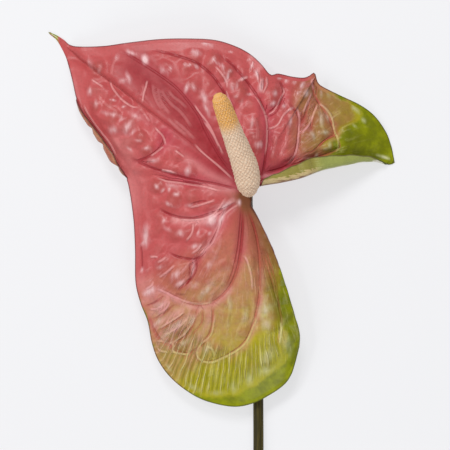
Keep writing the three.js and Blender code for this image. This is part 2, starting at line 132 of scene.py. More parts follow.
def look_up(table: Table, places: Array) -> Array:
    """Reads a table of (place, value) pairs, smoothed between the pairs.

    Args:
        table: pairs in rising order of place.
        places: where to read.

    Returns:
        One value for each place.
    """
    keys, values = np.array(table, float).T
    index = np.clip(np.searchsorted(keys, places, side="right") - 1, 0, len(keys) - 2)
    share = smooth_step(places, keys[index], keys[index + 1])
    return values[index] + (values[index + 1] - values[index]) * share


def nearest_on(line: Array, x: Array, y: Array, reach: float) -> tuple[Array, Array]:
    """Finds the distance from many points to a line, as far as a reach.

    Args:
        line: the line's points as rows.
        x: first coordinates.
        y: second coordinates.
        reach: greatest distance looked for.

    Returns:
        The distances, above 0 on the line's left and below 0 on its right, and how far along
        the line the nearest places are, from 0 to 1.
    """
    signed = np.full(x.shape, float(reach))
    place = np.zeros(x.shape)
    low = line[:, :2].min(axis=0) - reach
    high = line[:, :2].max(axis=0) + reach
    near = (x > low[0]) & (x < high[0]) & (y > low[1]) & (y < high[1])
    near_x, near_y = x[near], y[near]
    best = np.full(near_x.shape, float(reach))
    best_place = np.zeros(near_x.shape)
    spans = len(line) - 1
    for i in range(spans):
        from_x, from_y = near_x - line[i, 0], near_y - line[i, 1]
        dx, dy = line[i + 1, :2] - line[i, :2]
        share = np.clip((from_x * dx + from_y * dy) / (dx * dx + dy * dy), 0, 1)
        distance = np.hypot(from_x - share * dx, from_y - share * dy)
        side = np.where(from_y * dx > from_x * dy, 1, -1)
        closer = distance < np.abs(best)
        best = np.where(closer, distance * side, best)
        best_place = np.where(closer, (i + share) / spans, best_place)
    signed[near] = best
    place[near] = best_place
    return signed, place


def ripple(x: Array, y: Array, length: float, seed: int) -> Array:
    """Makes a smooth random surface from a few crossing waves.

    Args:
        x: first coordinates.
        y: second coordinates.
        length: rough wave length.
        seed: start of the random draw.

    Returns:
        Heights of about -1 to 1.
    """
    draw = np.random.default_rng(seed)
    total = np.zeros(x.shape)
    for _ in range(RIPPLE_WAVES):
        angle = draw.uniform(0, math.tau)
        number = math.tau / (length * draw.uniform(0.7, 1.5))
        phase = draw.uniform(0, math.tau)
        total += np.sin(number * (x * math.cos(angle) + y * math.sin(angle)) + phase)
    return total / math.sqrt(RIPPLE_WAVES)


# Shader maths


class Wire:
    """A value in a shader that Python arithmetic works on."""

    def __init__(self, board: "Board", socket: bpy.types.NodeSocket) -> None:
        """Wraps an output socket."""
        self.board = board
        self.socket = socket

    def _math(self, operation: str, first: object, second: object) -> "Wire":
        """Adds one Math node with two values, each a number or a wire."""
        return self.board.add("ShaderNodeMath", {"operation": operation}, {0: first, 1: second})

    def __add__(self, other: object) -> "Wire":
        """self + other."""
        return self._math("ADD", self, other)

    __radd__ = __add__

    def __sub__(self, other: object) -> "Wire":
        """self - other."""
        return self._math("SUBTRACT", self, other)

    def __rsub__(self, other: object) -> "Wire":
        """other - self."""
        return self._math("SUBTRACT", other, self)

    def __mul__(self, other: object) -> "Wire":
        """self * other."""
        return self._math("MULTIPLY", self, other)

    __rmul__ = __mul__

    def __pow__(self, other: object) -> "Wire":
        """self ** other."""
        return self._math("POWER", self, other)

    def sine(self) -> "Wire":
        """Sine of the value."""
        return self._math("SINE", self, 0.0)

    def step(self, low: float, high: float) -> "Wire":
        """Rises smoothly from 0 at low to 1 at high."""
        settings = {"interpolation_type": "SMOOTHSTEP"}
        return self.board.add("ShaderNodeMapRange", settings, {0: self, 1: low, 2: high})


class Board:
    """The node tree of one material."""

    def __init__(self, name: str) -> None:
        """Makes an empty material with one Principled shader.

        Args:
            name: the material's name.
        """
        self.material = bpy.data.materials.new(name)
        self.material.use_nodes = True
        self.tree = self.material.node_tree
        self.tree.nodes.clear()
        self.shader = self.tree.nodes.new("ShaderNodeBsdfPrincipled")
        output = self.tree.nodes.new("ShaderNodeOutputMaterial")
        self.tree.links.new(self.shader.outputs[0], output.inputs[0])

    def _plug(self, target: bpy.types.NodeSocket, value: object) -> None:
        """Links a wire to a socket, or sets the socket to a plain value.

        Args:
            target: the socket.
            value: the wire or the plain value.
        """
        if isinstance(value, Wire):
            self.tree.links.new(value.socket, target)
        else:
            target.default_value = value

    def add(self, kind: str, settings: dict, inputs: dict, output: object = 0) -> Wire:
        """Adds a node.

        Args:
            kind: the node's type.
            settings: its own properties, set first; "stops" fills a colour ramp.
            inputs: values or wires by socket name or number.
            output: name or number of the output to hand back.

        Returns:
            That output.
        """
        node = self.tree.nodes.new(kind)
        for key, value in settings.items():
            if key == "stops":
                self._fill_ramp(node.color_ramp, value)
            else:
                setattr(node, key, value)
        for key, value in inputs.items():
            self._plug(node.inputs[key], value)
        return Wire(self, node.outputs[output])

    @staticmethod
    def _fill_ramp(ramp: bpy.types.ColorRamp, stops: list) -> None:
        """Sets a ramp's stops.

        Args:
            ramp: the ramp.
            stops: (place, colour) pairs.
        """
        while len(ramp.elements) < len(stops):
            ramp.elements.new(1.0)
        for element, (place, colour) in zip(ramp.elements, stops):
            element.position = place
            element.color = colour

    def ramp(self, share: Wire, stops: list) -> Wire:
        """Reads a colour off a ramp of (place, colour) stops."""
        return self.add("ShaderNodeValToRGB", {"stops": stops}, {"Fac": share})

    def mask(self, name: str) -> Wire:
        """Reads a number that the mesh carries at each point."""
        return self.add("ShaderNodeAttribute", {"attribute_name": name}, {}, "Fac")

    def place(self) -> Wire:
        """The object coordinates, in metres."""
        return self.add("ShaderNodeTexCoord", {}, {}, "Object")

    def noise_at(self, place: Wire, scale: float, detail: float, roughness: float) -> Wire:
        """Noise at given places, from 0 to 1.

        Args:
            place: the places.
            scale: waves in one unit of the places.
            detail: octaves.
            roughness: share of each finer octave.

        Returns:
            The noise's value.
        """
        inputs = {"Vector": place, "Scale": scale, "Detail": detail, "Roughness": roughness}
        return self.add("ShaderNodeTexNoise", {}, inputs)

    def noise(self, scale: float, detail: float = 3.0) -> Wire:
        """Even noise on the object coordinates, from 0 to 1, with its waves in a metre."""
        return self.noise_at(self.place(), scale, detail, 0.55)

    def shake(self, scale: float, amount: float) -> Wire:
        """Even noise that swings round 0 by half the amount each way."""
        return (self.noise(scale) - 0.5) * amount

    def streaks(self, stretch: tuple, scale: float, detail: float) -> Wire:
        """Noise drawn out along the object's axes.

        Args:
            stretch: factor on the waves in a metre along x, y and z.
            scale: waves in a metre.
            detail: octaves.

        Returns:
            The noise's value, from 0 to 1.
        """
        inputs = {"Vector": self.place(), "Scale": stretch}
        return self.noise_at(self.add("ShaderNodeMapping", {}, inputs), scale, detail, 0.5)

    def blend(self, share: object, first: object, second: object) -> Wire:
        """Mixes two colours.

        Args:
            share: share of the second colour.
            first: a colour of four numbers or a wire.
            second: a colour of four numbers or a wire.

        Returns:
            The mixed colour.
        """
        settings = {"data_type": "RGBA", "clamp_factor": True}
        return self.add("ShaderNodeMix", settings, {0: share, 6: first, 7: second}, 2)

    def coat(self, skin: Wire, coats: list) -> Wire:
        """Lays coats of colour over a skin, one after the other.

        Args:
            skin: the colour below.
            coats: (share, colour) pairs, the lowest first.

        Returns:
            The colour on top.
        """
        for share, colour in coats:
            skin = self.blend(share, skin, colour)
        return skin

    def bump(self, height: Wire, distance: float) -> None:
        """Leads a height through a Bump node to the shader's normal.

        Args:
            height: the height's share.
            distance: metres at a height of 1.
        """
        inputs = {"Height": height, "Distance": distance, "Strength": 1.0}
        self.feed("Normal", self.add("ShaderNodeBump", {}, inputs))

    def feed(self, socket: str, value: object) -> None:
        """Sets or links a socket of the Principled shader."""
        self._plug(self.shader.inputs[socket], value)


def srgb(red: int, green: int, blue: int) -> tuple[float, float, float, float]:
    """Turns a display colour of 0 to 255 into a shader colour.

    Args:
        red: red share.
        green: green share.
        blue: blue share.

    Returns:
        Linear red, green and blue, and an alpha of 1.
    """
    linear = []
    for part in (red / 255, green / 255, blue / 255):
        linear.append(part / 12.92 if part <= 0.04045 else ((part + 0.055) / 1.055) ** 2.4)
    return (*linear, 1.0)


# Mesh helpers


def select_only(piece: bpy.types.Object | None = None) -> None:
    """Selects one piece and makes it the active one, or leaves nothing selected.

    Args:
        piece: the object, or nothing.
    """
    for thing in bpy.context.selected_objects:
        thing.select_set(False)
    if piece:
        bpy.context.view_layer.objects.active = piece
        piece.select_set(True)


def points_of(piece: bpy.types.Object) -> Array:
    """Reads a piece's vertices.

    Args:
        piece: the object.

    Returns:
        The vertices as rows.
    """
    flat = np.empty(len(piece.data.vertices) * 3)
    piece.data.vertices.foreach_get("co", flat)
    return flat.reshape(-1, 3)


def move_points(piece: bpy.types.Object, points: Array) -> None:
    """Puts a piece's vertices where the rows say."""
    piece.data.vertices.foreach_set("co", points.ravel())
    piece.data.update()


def add_mask(piece: bpy.types.Object, name: str, values: Array) -> None:
    """Stores one number at each vertex for the shader to read."""
    layer = piece.data.attributes.new(name, "FLOAT", "POINT")
    layer.data.foreach_set("value", values.astype(np.float32).ravel())


def name_piece(name: str) -> bpy.types.Object:
    """Names the newest object and clears its selection.

    Args:
        name: the piece's name.

    Returns:
        The object.
    """
    piece = bpy.context.object
    piece.name = name
    piece.data.name = name
    piece.select_set(False)
    return piece


def apply_modifier(piece: bpy.types.Object, kind: str, **settings: object) -> None:
    """Adds a modifier and applies it.

    Args:
        piece: the object.
        kind: the modifier's type.
        settings: the modifier's own properties.
    """
    select_only(piece)
    modifier = piece.modifiers.new(kind.title(), kind)
    for key, value in settings.items():
        setattr(modifier, key, value)
    bpy.ops.object.modifier_apply(modifier=modifier.name)
    select_only()


def smooth(piece: bpy.types.Object, angle: float) -> None:
    """Shades a piece smooth except at its sharp edges.

    Args:
        piece: the object.
        angle: angle in degrees from which an edge stays sharp.
    """
    select_only(piece)
    bpy.ops.object.shade_smooth_by_angle(angle=math.radians(angle))
    select_only()


def settle(piece: bpy.types.Object, node: str) -> None:
    """Makes a piece stand for a CAD node, whose solid it hides, and ride on the root.

    Args:
        piece: the object.
        node: the CAD node's name.
    """
    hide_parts(node)
    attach(piece, ROOT)
    log.info("%s: %d faces", piece.name, len(piece.data.polygons))


@dataclass(frozen=True)
class Drawing:
    """Where the drawing of the flower head lies in the frame."""

    east: float
    north: float

    @classmethod
    def from_frame(cls) -> "Drawing":
        """Finds the drawing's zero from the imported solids.

        Returns:
            The drawing.
        """
        spathe_low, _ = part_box("spathe")
        stem_low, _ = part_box("stem")
        return cls(spathe_low.x / MM - TOP_MARGIN[-1][0], stem_low.y / MM - STEM_PATH[0][1])

    def to_frame(self, points: Array) -> Array:
        """Turns millimetres on the drawing into metres in the frame."""
        return (points + np.array([self.east, self.north, 0])) * MM

    def place(self, x: float, y: float, z: float) -> Vector:
        """Turns one place on the drawing into metres in the frame."""
        return Vector(self.to_frame(np.array([x, y, z])))


# Tables of the drawing

STEM_REST_HEIGHT = 2.35
HUB_TOP = 27.0
HUB_CENTRE = (-2.3, 1.2)
STEM_PATH = [
    (3.2, -300, STEM_REST_HEIGHT), (3.2, -240, STEM_REST_HEIGHT), (3.2, -180, STEM_REST_HEIGHT),
    (3.2, -135, STEM_REST_HEIGHT), (3.1, -100, 2.6), (2.6, -60, 6), (1, -30, 10.5),
    (-0.8, -18, 12.8), (-2.3, -9, 15.6), (-2.5, -4.5, 18.1), (-2.4, -1, 21.4), (-2.3, 0.9, 24.6),
    (*HUB_CENTRE, HUB_TOP),
]
TOP_MARGIN = [
    (71.5, 12.5), (70.8, 16.5), (69.5, 22.5), (66.5, 29.5), (61, 37), (54, 42.25), (44, 47),
    (35, 51.5), (32.6, 53.8), (31, 58.25), (28.5, 56.75), (25.5, 55.75), (20, 56.25),
    (13, 57.75), (9, 57.25), (4.5, 62.5), (-1, 67.5), (-8.5, 71.5), (-18.5, 74.5),
    (-31, 75.25), (-46, 75), (-62, 73.25), (-73.5, 71.75), (-86, 71.5), (-91, 72.5), (-94, 75),
    (-98, 77.5), (-102, 79),
]
LEFT_MARGIN = [
    (-102, 79), (-98.5, 76), (-95.5, 71.5), (-92.5, 65), (-90, 56), (-87, 43), (-84.25, 37),
    (-76, 24.5), (-68, 12.5), (-63, 6.25), (-61, -0.5), (-59, -15), (-58.25, -30), (-58, -46),
    (-55.5, -56.5), (-52, -65.5), (-50, -76), (-47, -84.5), (-41.5, -92.5), (-33.5, -99.5),
    (-23.5, -105), (-10, -108), (0, -106.5), (9, -102), (16, -97), (19.5, -92), (21.5, -86),
    (23.5, -78),
]
RIGHT_NOTCH = [
    (1.2, 3.4), (4, 4.6), (9, 5.5), (14, 6.3), (24, 8.6), (34, 12.2), (44, 14.5), (54, 16.5),
    (62, 16.8), (69, 15),
]
LOWER_NOTCH = [
    (-1.1, -2.4), (-0.2, -4.5), (-0.5, -7.5), (1.4, -11), (4.5, -17), (10.5, -30), (16, -45.5),
    (20.5, -60.5), (23.4, -71), (23.3, -78),
]
EDGE_HEIGHTS: Table = [
    (0, -3), (0.05, 3), (0.1, 7), (0.16, 13), (0.185, 17), (0.21, 14), (0.27, 14), (0.33, 12),
    (0.38, 5), (0.405, -4), (0.42, -9), (0.44, -4), (0.47, 3), (0.52, 7), (0.6, 10), (0.7, 9),
    (0.8, 8), (0.87, 8), (0.93, 9), (1, 10),
]
NOTCH_ROLL: Table = [
    (0, 0), (0.03, 0), (0.08, 3.2), (0.15, 4.5), (0.3, 6.7), (0.42, 7.6), (0.55, 6.2),
    (0.68, 4.7), (0.82, 2.7), (0.94, 0.6), (0.98, 0), (1, 0),
]
LEFT_ROLL: Table = [
    (0, 0), (0.5, 0), (0.515, 0.7), (0.536, 1.4), (0.556, 1.8), (0.57, 2), (0.586, 1),
    (0.599, 0.3), (0.603, 0), (1, 0),
]
# How far the rolled left margin bulges outwards between its notches
SCALLOPS: Table = [
    (0, 0), (0.505, 0), (0.52, 0.3), (0.53, 0.3), (0.536, -0.6), (0.541, 0.3), (0.55, 0.5),
    (0.556, -0.7), (0.562, 0.4), (0.575, 0.9), (0.586, -0.8), (0.589, 0), (0.594, 0.2), (0.599, -0.4),
    (0.603, 0), (1, 0),
]
TIP_SHARE = 0.42


@dataclass(frozen=True)
class Vein:
    """A vein sunk into the blade."""

    width: float
    depth: float
    points: list


VEINS = [
    Vein(5.5, 0.5, [(-8, 2), (-21, 10), (-33.5, 19.5), (-43, 28), (-55, 37.5), (-67, 46),
                   (-76, 53.5), (-85, 62.5), (-93, 70), (-97.5, 76)]),
    Vein(3.5, 0.8, [(-9, 7), (-15, 15), (-19.5, 22.5), (-23.5, 30), (-27, 37.5), (-35, 48),
                    (-41, 53.5), (-51, 60.5), (-62, 67.5), (-67, 70)]),
    Vein(3, 0.7, [(-4, 6), (-7, 20), (-8, 32), (-10, 42), (-15, 50), (-20, 57), (-27.5, 63),
                  (-37, 66.5), (-51, 70)]),
    Vein(3.5, 0.8, [(1, 6), (5, 8), (7, 21), (7.5, 29), (6.5, 37), (3.5, 45), (-4, 55.5),
                    (-12, 64), (-17, 67)]),
    Vein(2.5, 0.6, [(8, 38), (13.5, 43), (15.5, 49.5), (13.5, 54)]),
    Vein(3, 0.75, [(5, 8), (15.5, 11), (20, 15), (22, 21.5), (23, 30), (23, 36), (18, 44)]),
    Vein(3, 0.85, [(15.5, 11), (24, 13.5), (42, 20), (42.5, 25), (39.5, 32.5), (34.5, 41.5),
                   (30.5, 47.5), (30.5, 57)]),
    Vein(2.2, 0.55, [(41, 27.5), (36.5, 25), (33, 21.5)]),
    Vein(2.2, 0.55, [(24, 32.5), (26.5, 37.5), (28.5, 45)]),
    Vein(2.2, 0.55, [(29, 30), (30.5, 37.5), (32, 43)]),
    Vein(3, 0.7, [(-43, 27), (-45, 22), (-50.5, 17), (-58, 14)]),
    Vein(3, 0.7, [(-6, 0), (-18.5, 3), (-31, 5.5), (-43.5, 9), (-53.5, 12.5), (-61, 16.5)]),
    Vein(2.5, 0.6, [(-23.5, 2), (-31, 3), (-38.5, 4), (-47.5, 5.5)]),
    Vein(3, 0.75, [(-6, -5), (-12, -8.5), (-18.5, -11), (-28.5, -14), (-38.5, -13), (-47, -9)]),
    Vein(3, 0.75, [(-6, -6.5), (-13.5, -11), (-16.5, -19), (-21, -27), (-27, -34), (-36, -33.5),
                   (-42, -31)]),
    Vein(2.5, 0.6, [(-27.5, -36), (-31, -44.5), (-37, -50)]),
    Vein(3.5, 0.9, [(-4.5, -8.5), (-5, -22.5), (-7, -37.5), (-11.5, -48.5), (-18.5, -55),
                    (-28.5, -57), (-38.5, -53), (-46, -49)]),
    Vein(3.5, 0.8, [(-3, -7.5), (2, -22.5), (3.75, -37.5), (3.5, -52.5), (1, -65),
                    (-3.5, -75.5), (-11, -81.5), (-20, -85.5), (-27, -84.5), (-31, -81)]),
    Vein(3, 0.5, [(6, -32), (12.5, -55), (14.5, -65), (13, -77.5)]),
    Vein(2.5, 0.65, [(-51, -65), (-46, -74), (-40, -76), (-32, -72), (-27.5, -61), (-27, -58)]),
    Vein(2.5, 0.65, [(-40, -77.5), (-33.5, -81.5), (-26, -78), (-20, -69), (-19.5, -57)]),
]
# Light ribs, most of them along the veins: partly paler skin, partly painted highlight on their crests
RIBS = [
    [(-80, 55), (-77, 53), (-74, 51)],
    [(-70.5, 55), (-70, 52), (-68, 48.5), (-65, 45), (-61, 42), (-58.5, 41), (-56, 41.3)],
    [(-52, 54.5), (-52.8, 51), (-54, 47), (-54.5, 43)],
    [(-48.5, 31), (-46, 28.5), (-44.3, 26.5), (-43.3, 24), (-43, 22)],
    [(-44, 21.5), (-47, 19), (-50.5, 16.5)],
    [(-38.5, 19.6), (-36, 17.8), (-33.5, 16)],
    [(-29, 23), (-24.5, 18.5), (-17, 12), (-12, 7.5), (-9, 4.5)],
    [(-48, 5.8), (-42, 4.2), (-36, 3.3), (-30, 2.3), (-23.5, 1.4), (-15, -1)],
    [(-45, 10), (-41, 9.3), (-38, 8.4)],
    [(-29, 43), (-26.5, 39), (-22, 33), (-19, 27.5), (-16, 20)],
    [(-24, 34), (-20, 28.5), (-16.5, 22), (-14, 17)],
    [(-12.8, 49), (-11.5, 45), (-9.5, 41)],
    [(-18.5, 61.5), (-15, 57.5), (-12.6, 53.5), (-12.5, 50)],
    [(-31, -8.8), (-24, -7), (-18, -5)],
    [(-36.5, -14.6), (-31, -15), (-23.5, -14.4), (-18.5, -11.5), (-15, -7), (-12.5, -3.5)],
    [(-29, -16.3), (-29.8, -21.3), (-32.7, -25.4)],
    [(-6, -7), (-11, -10), (-15, -14), (-16.5, -19), (-19.3, -25.8), (-23, -30), (-27, -34)],
    [(-21, -26), (-23, -29), (-25.8, -32)],
    [(-25, -26.7), (-27, -29.5), (-30, -31.7)],
    [(-50.5, -33.3), (-48.5, -33.2), (-46.5, -33.5)],
    [(-42.5, -33.3), (-44.5, -35), (-46.8, -36.2)],
    [(-38.5, -37.5), (-42.3, -40.8), (-46.4, -43.8)],
    [(-49.3, -45.4), (-49.8, -47.5), (-53, -49.6)],
    [(-4.5, -32.5), (-2.5, -35), (-0.5, -42.5), (0, -50)],
    [(-48.5, -49), (-43.5, -50.7), (-38, -53.5), (-31, -56), (-23.5, -56.5), (-18, -54.5)],
    [(-28, -60.5), (-29.5, -65.8), (-33, -70.8), (-38.5, -75.3), (-42, -75.8), (-46.5, -72)],
    [(-40.8, -55.3), (-42.4, -58.5), (-46.9, -62)],
    [(-44, -57), (-47, -59), (-51, -59.5)],
    [(-33.5, -60.5), (-37.5, -63.6), (-46.3, -69.2)],
    [(-30.5, -62), (-35, -67), (-44, -73)],
    [(-18.5, -59), (-19, -65.8), (-20.7, -72.5), (-25.7, -77), (-27.4, -81.4), (-25.7, -84.7),
     (-20.2, -85.8), (-14.6, -83.6), (-9, -80.8), (-3.5, -76.4), (-0.7, -70.8), (2, -64.7),
     (3.7, -59)],
    [(-22, -78), (-19.5, -79.5), (-19, -83)],
    [(-48.5, -75.8), (-45, -75.3), (-39, -77), (-39.6, -80.3), (-36.8, -81.4), (-30, -82.2)],
    [(-51, -70), (-50.5, -74), (-48.5, -77), (-46, -80), (-41, -81)],
    [(14, -65), (14.5, -71), (13.5, -77)],
    [(1.5, 47), (4.5, 41.5), (6.5, 36.5), (7.3, 30), (7, 22.5), (6, 16)],
    [(7.5, 37), (11, 39.5), (14, 45.5), (16, 49), (15, 51)],
    [(7.5, 30), (12.5, 32), (15.5, 37), (18.5, 40), (20, 41.5)],
    [(21, 42), (23, 38), (23.2, 30), (22.3, 21), (20.5, 16.5), (16.5, 11.5)],
    [(32.5, 43.5), (36.5, 40.5), (39.5, 36), (41, 29), (42.5, 25.5), (42.5, 20.5), (41, 17.5)],
    [(32.8, 43), (31, 39), (29.5, 34.5), (26.5, 30), (24, 27)],
    [(29.5, 48.5), (27.5, 43.5), (25, 38)],
    [(6.9, 56), (7.2, 52), (5, 47.5)],
    [(5, 55.5), (3.8, 52), (4.4, 48)],
    [(2.4, 66), (0.5, 63.5), (-0.5, 60)],
    [(1.5, 59.5), (2.6, 57), (3, 53.5)],
    [(-5.5, 53.8), (-4, 55.2), (-2, 56)],
    [(30.5, 56), (29.5, 53), (30.5, 50)],
    [(-84.5, 43), (-82, 38.5), (-78, 32.5), (-74.5, 28), (-70, 22), (-67, 15)],
]
# Soft, light wrinkles of the smooth valley and of the panels: partly paler skin, partly painted highlight
# on their crests
WRINKLES = [
    [(-49.3, 52.5), (-48.9, 48), (-47.2, 43.5), (-44.5, 39.5)],
    [(-46.8, 51), (-46, 45.8), (-43.9, 41.5), (-40.5, 37)],
    [(-44.5, 50.5), (-44, 47.5), (-40.2, 42.5), (-36, 39), (-32.7, 35), (-29.5, 30)],
    [(-41.5, 49.5), (-39.5, 46.5), (-35.5, 43.5), (-32, 40)],
    [(-42, 35.5), (-37.5, 31), (-32, 26.5)],
    [(-39, 34.5), (-34, 30.5), (-28, 24.5)],
    [(-56, 41), (-53, 37), (-50.5, 33)],
    [(-67, 66), (-69.4, 61.7), (-70.3, 57)],
    [(-54.5, 52), (-54, 49.5), (-55.5, 46.5)],
    [(-77, 47), (-72, 42), (-67, 39)],
    [(-23.5, -45.8), (-17.3, -43.3), (-14.8, -41.7)],
    [(-25, -50), (-19, -45), (-15, -39)],
    [(-22, -53), (-15.5, -47), (-12, -41)],
    [(-20, -36), (-17, -30), (-15, -23)],
    [(-11, -56), (-11.5, -62), (-14, -70)],
    [(-5, -55), (-4.5, -63), (-8, -73)],
    [(0, -52), (0.5, -60), (-2, -68)],
    [(-36, -42), (-33, -39), (-30, -36)],
    [(-36, -47), (-32.5, -44), (-29.5, -41)],
    [(35, 38), (34.5, 33), (36, 28)],
    [(17, 35), (17.5, 28), (16, 21), (13, 15)],
    [(12, 27), (11, 21), (9.5, 15)],
    [(1, 36), (2.5, 30), (2.5, 24)],
]
# Thin dark creases beside the main veins
CREASES = [
    [(-31, -36.5), (-31, -40), (-31.2, -43.5)],
    [(-27.3, -35.5), (-27.6, -40), (-30, -44.2), (-33, -47.5)],
    [(-55.2, -27), (-54.6, -33), (-54.5, -40)],
    [(42.5, 27), (38.5, 26), (34.5, 23), (29.5, 19), (25, 18)],
    [(31.8, 55), (32.2, 50), (31.8, 46), (34, 41.5)],
    [(24.2, 32), (23.8, 26), (23.3, 20)],
    [(-30.8, -7.3), (-26, -5.8), (-22, -5.5)],
    [(-5.5, -9), (-6.2, -18), (-7.5, -30), (-10, -41), (-13, -48)],
    [(8.3, 36), (12, 38.5), (14.6, 43.5)],
    [(7, -30), (11.5, -45), (13.8, -60)],
    [(-43.8, -52.5), (-47.5, -55.5), (-53, -58)],
    [(-38.5, -57), (-43.5, -61.2), (-50, -65)],
    [(-33, -61.5), (-39.5, -66.2), (-46.5, -70.2)],
    [(-29, -62), (-32, -68), (-39, -73.8)],
    [(-24.5, -59.5), (-25, -66), (-30.5, -73)],
]
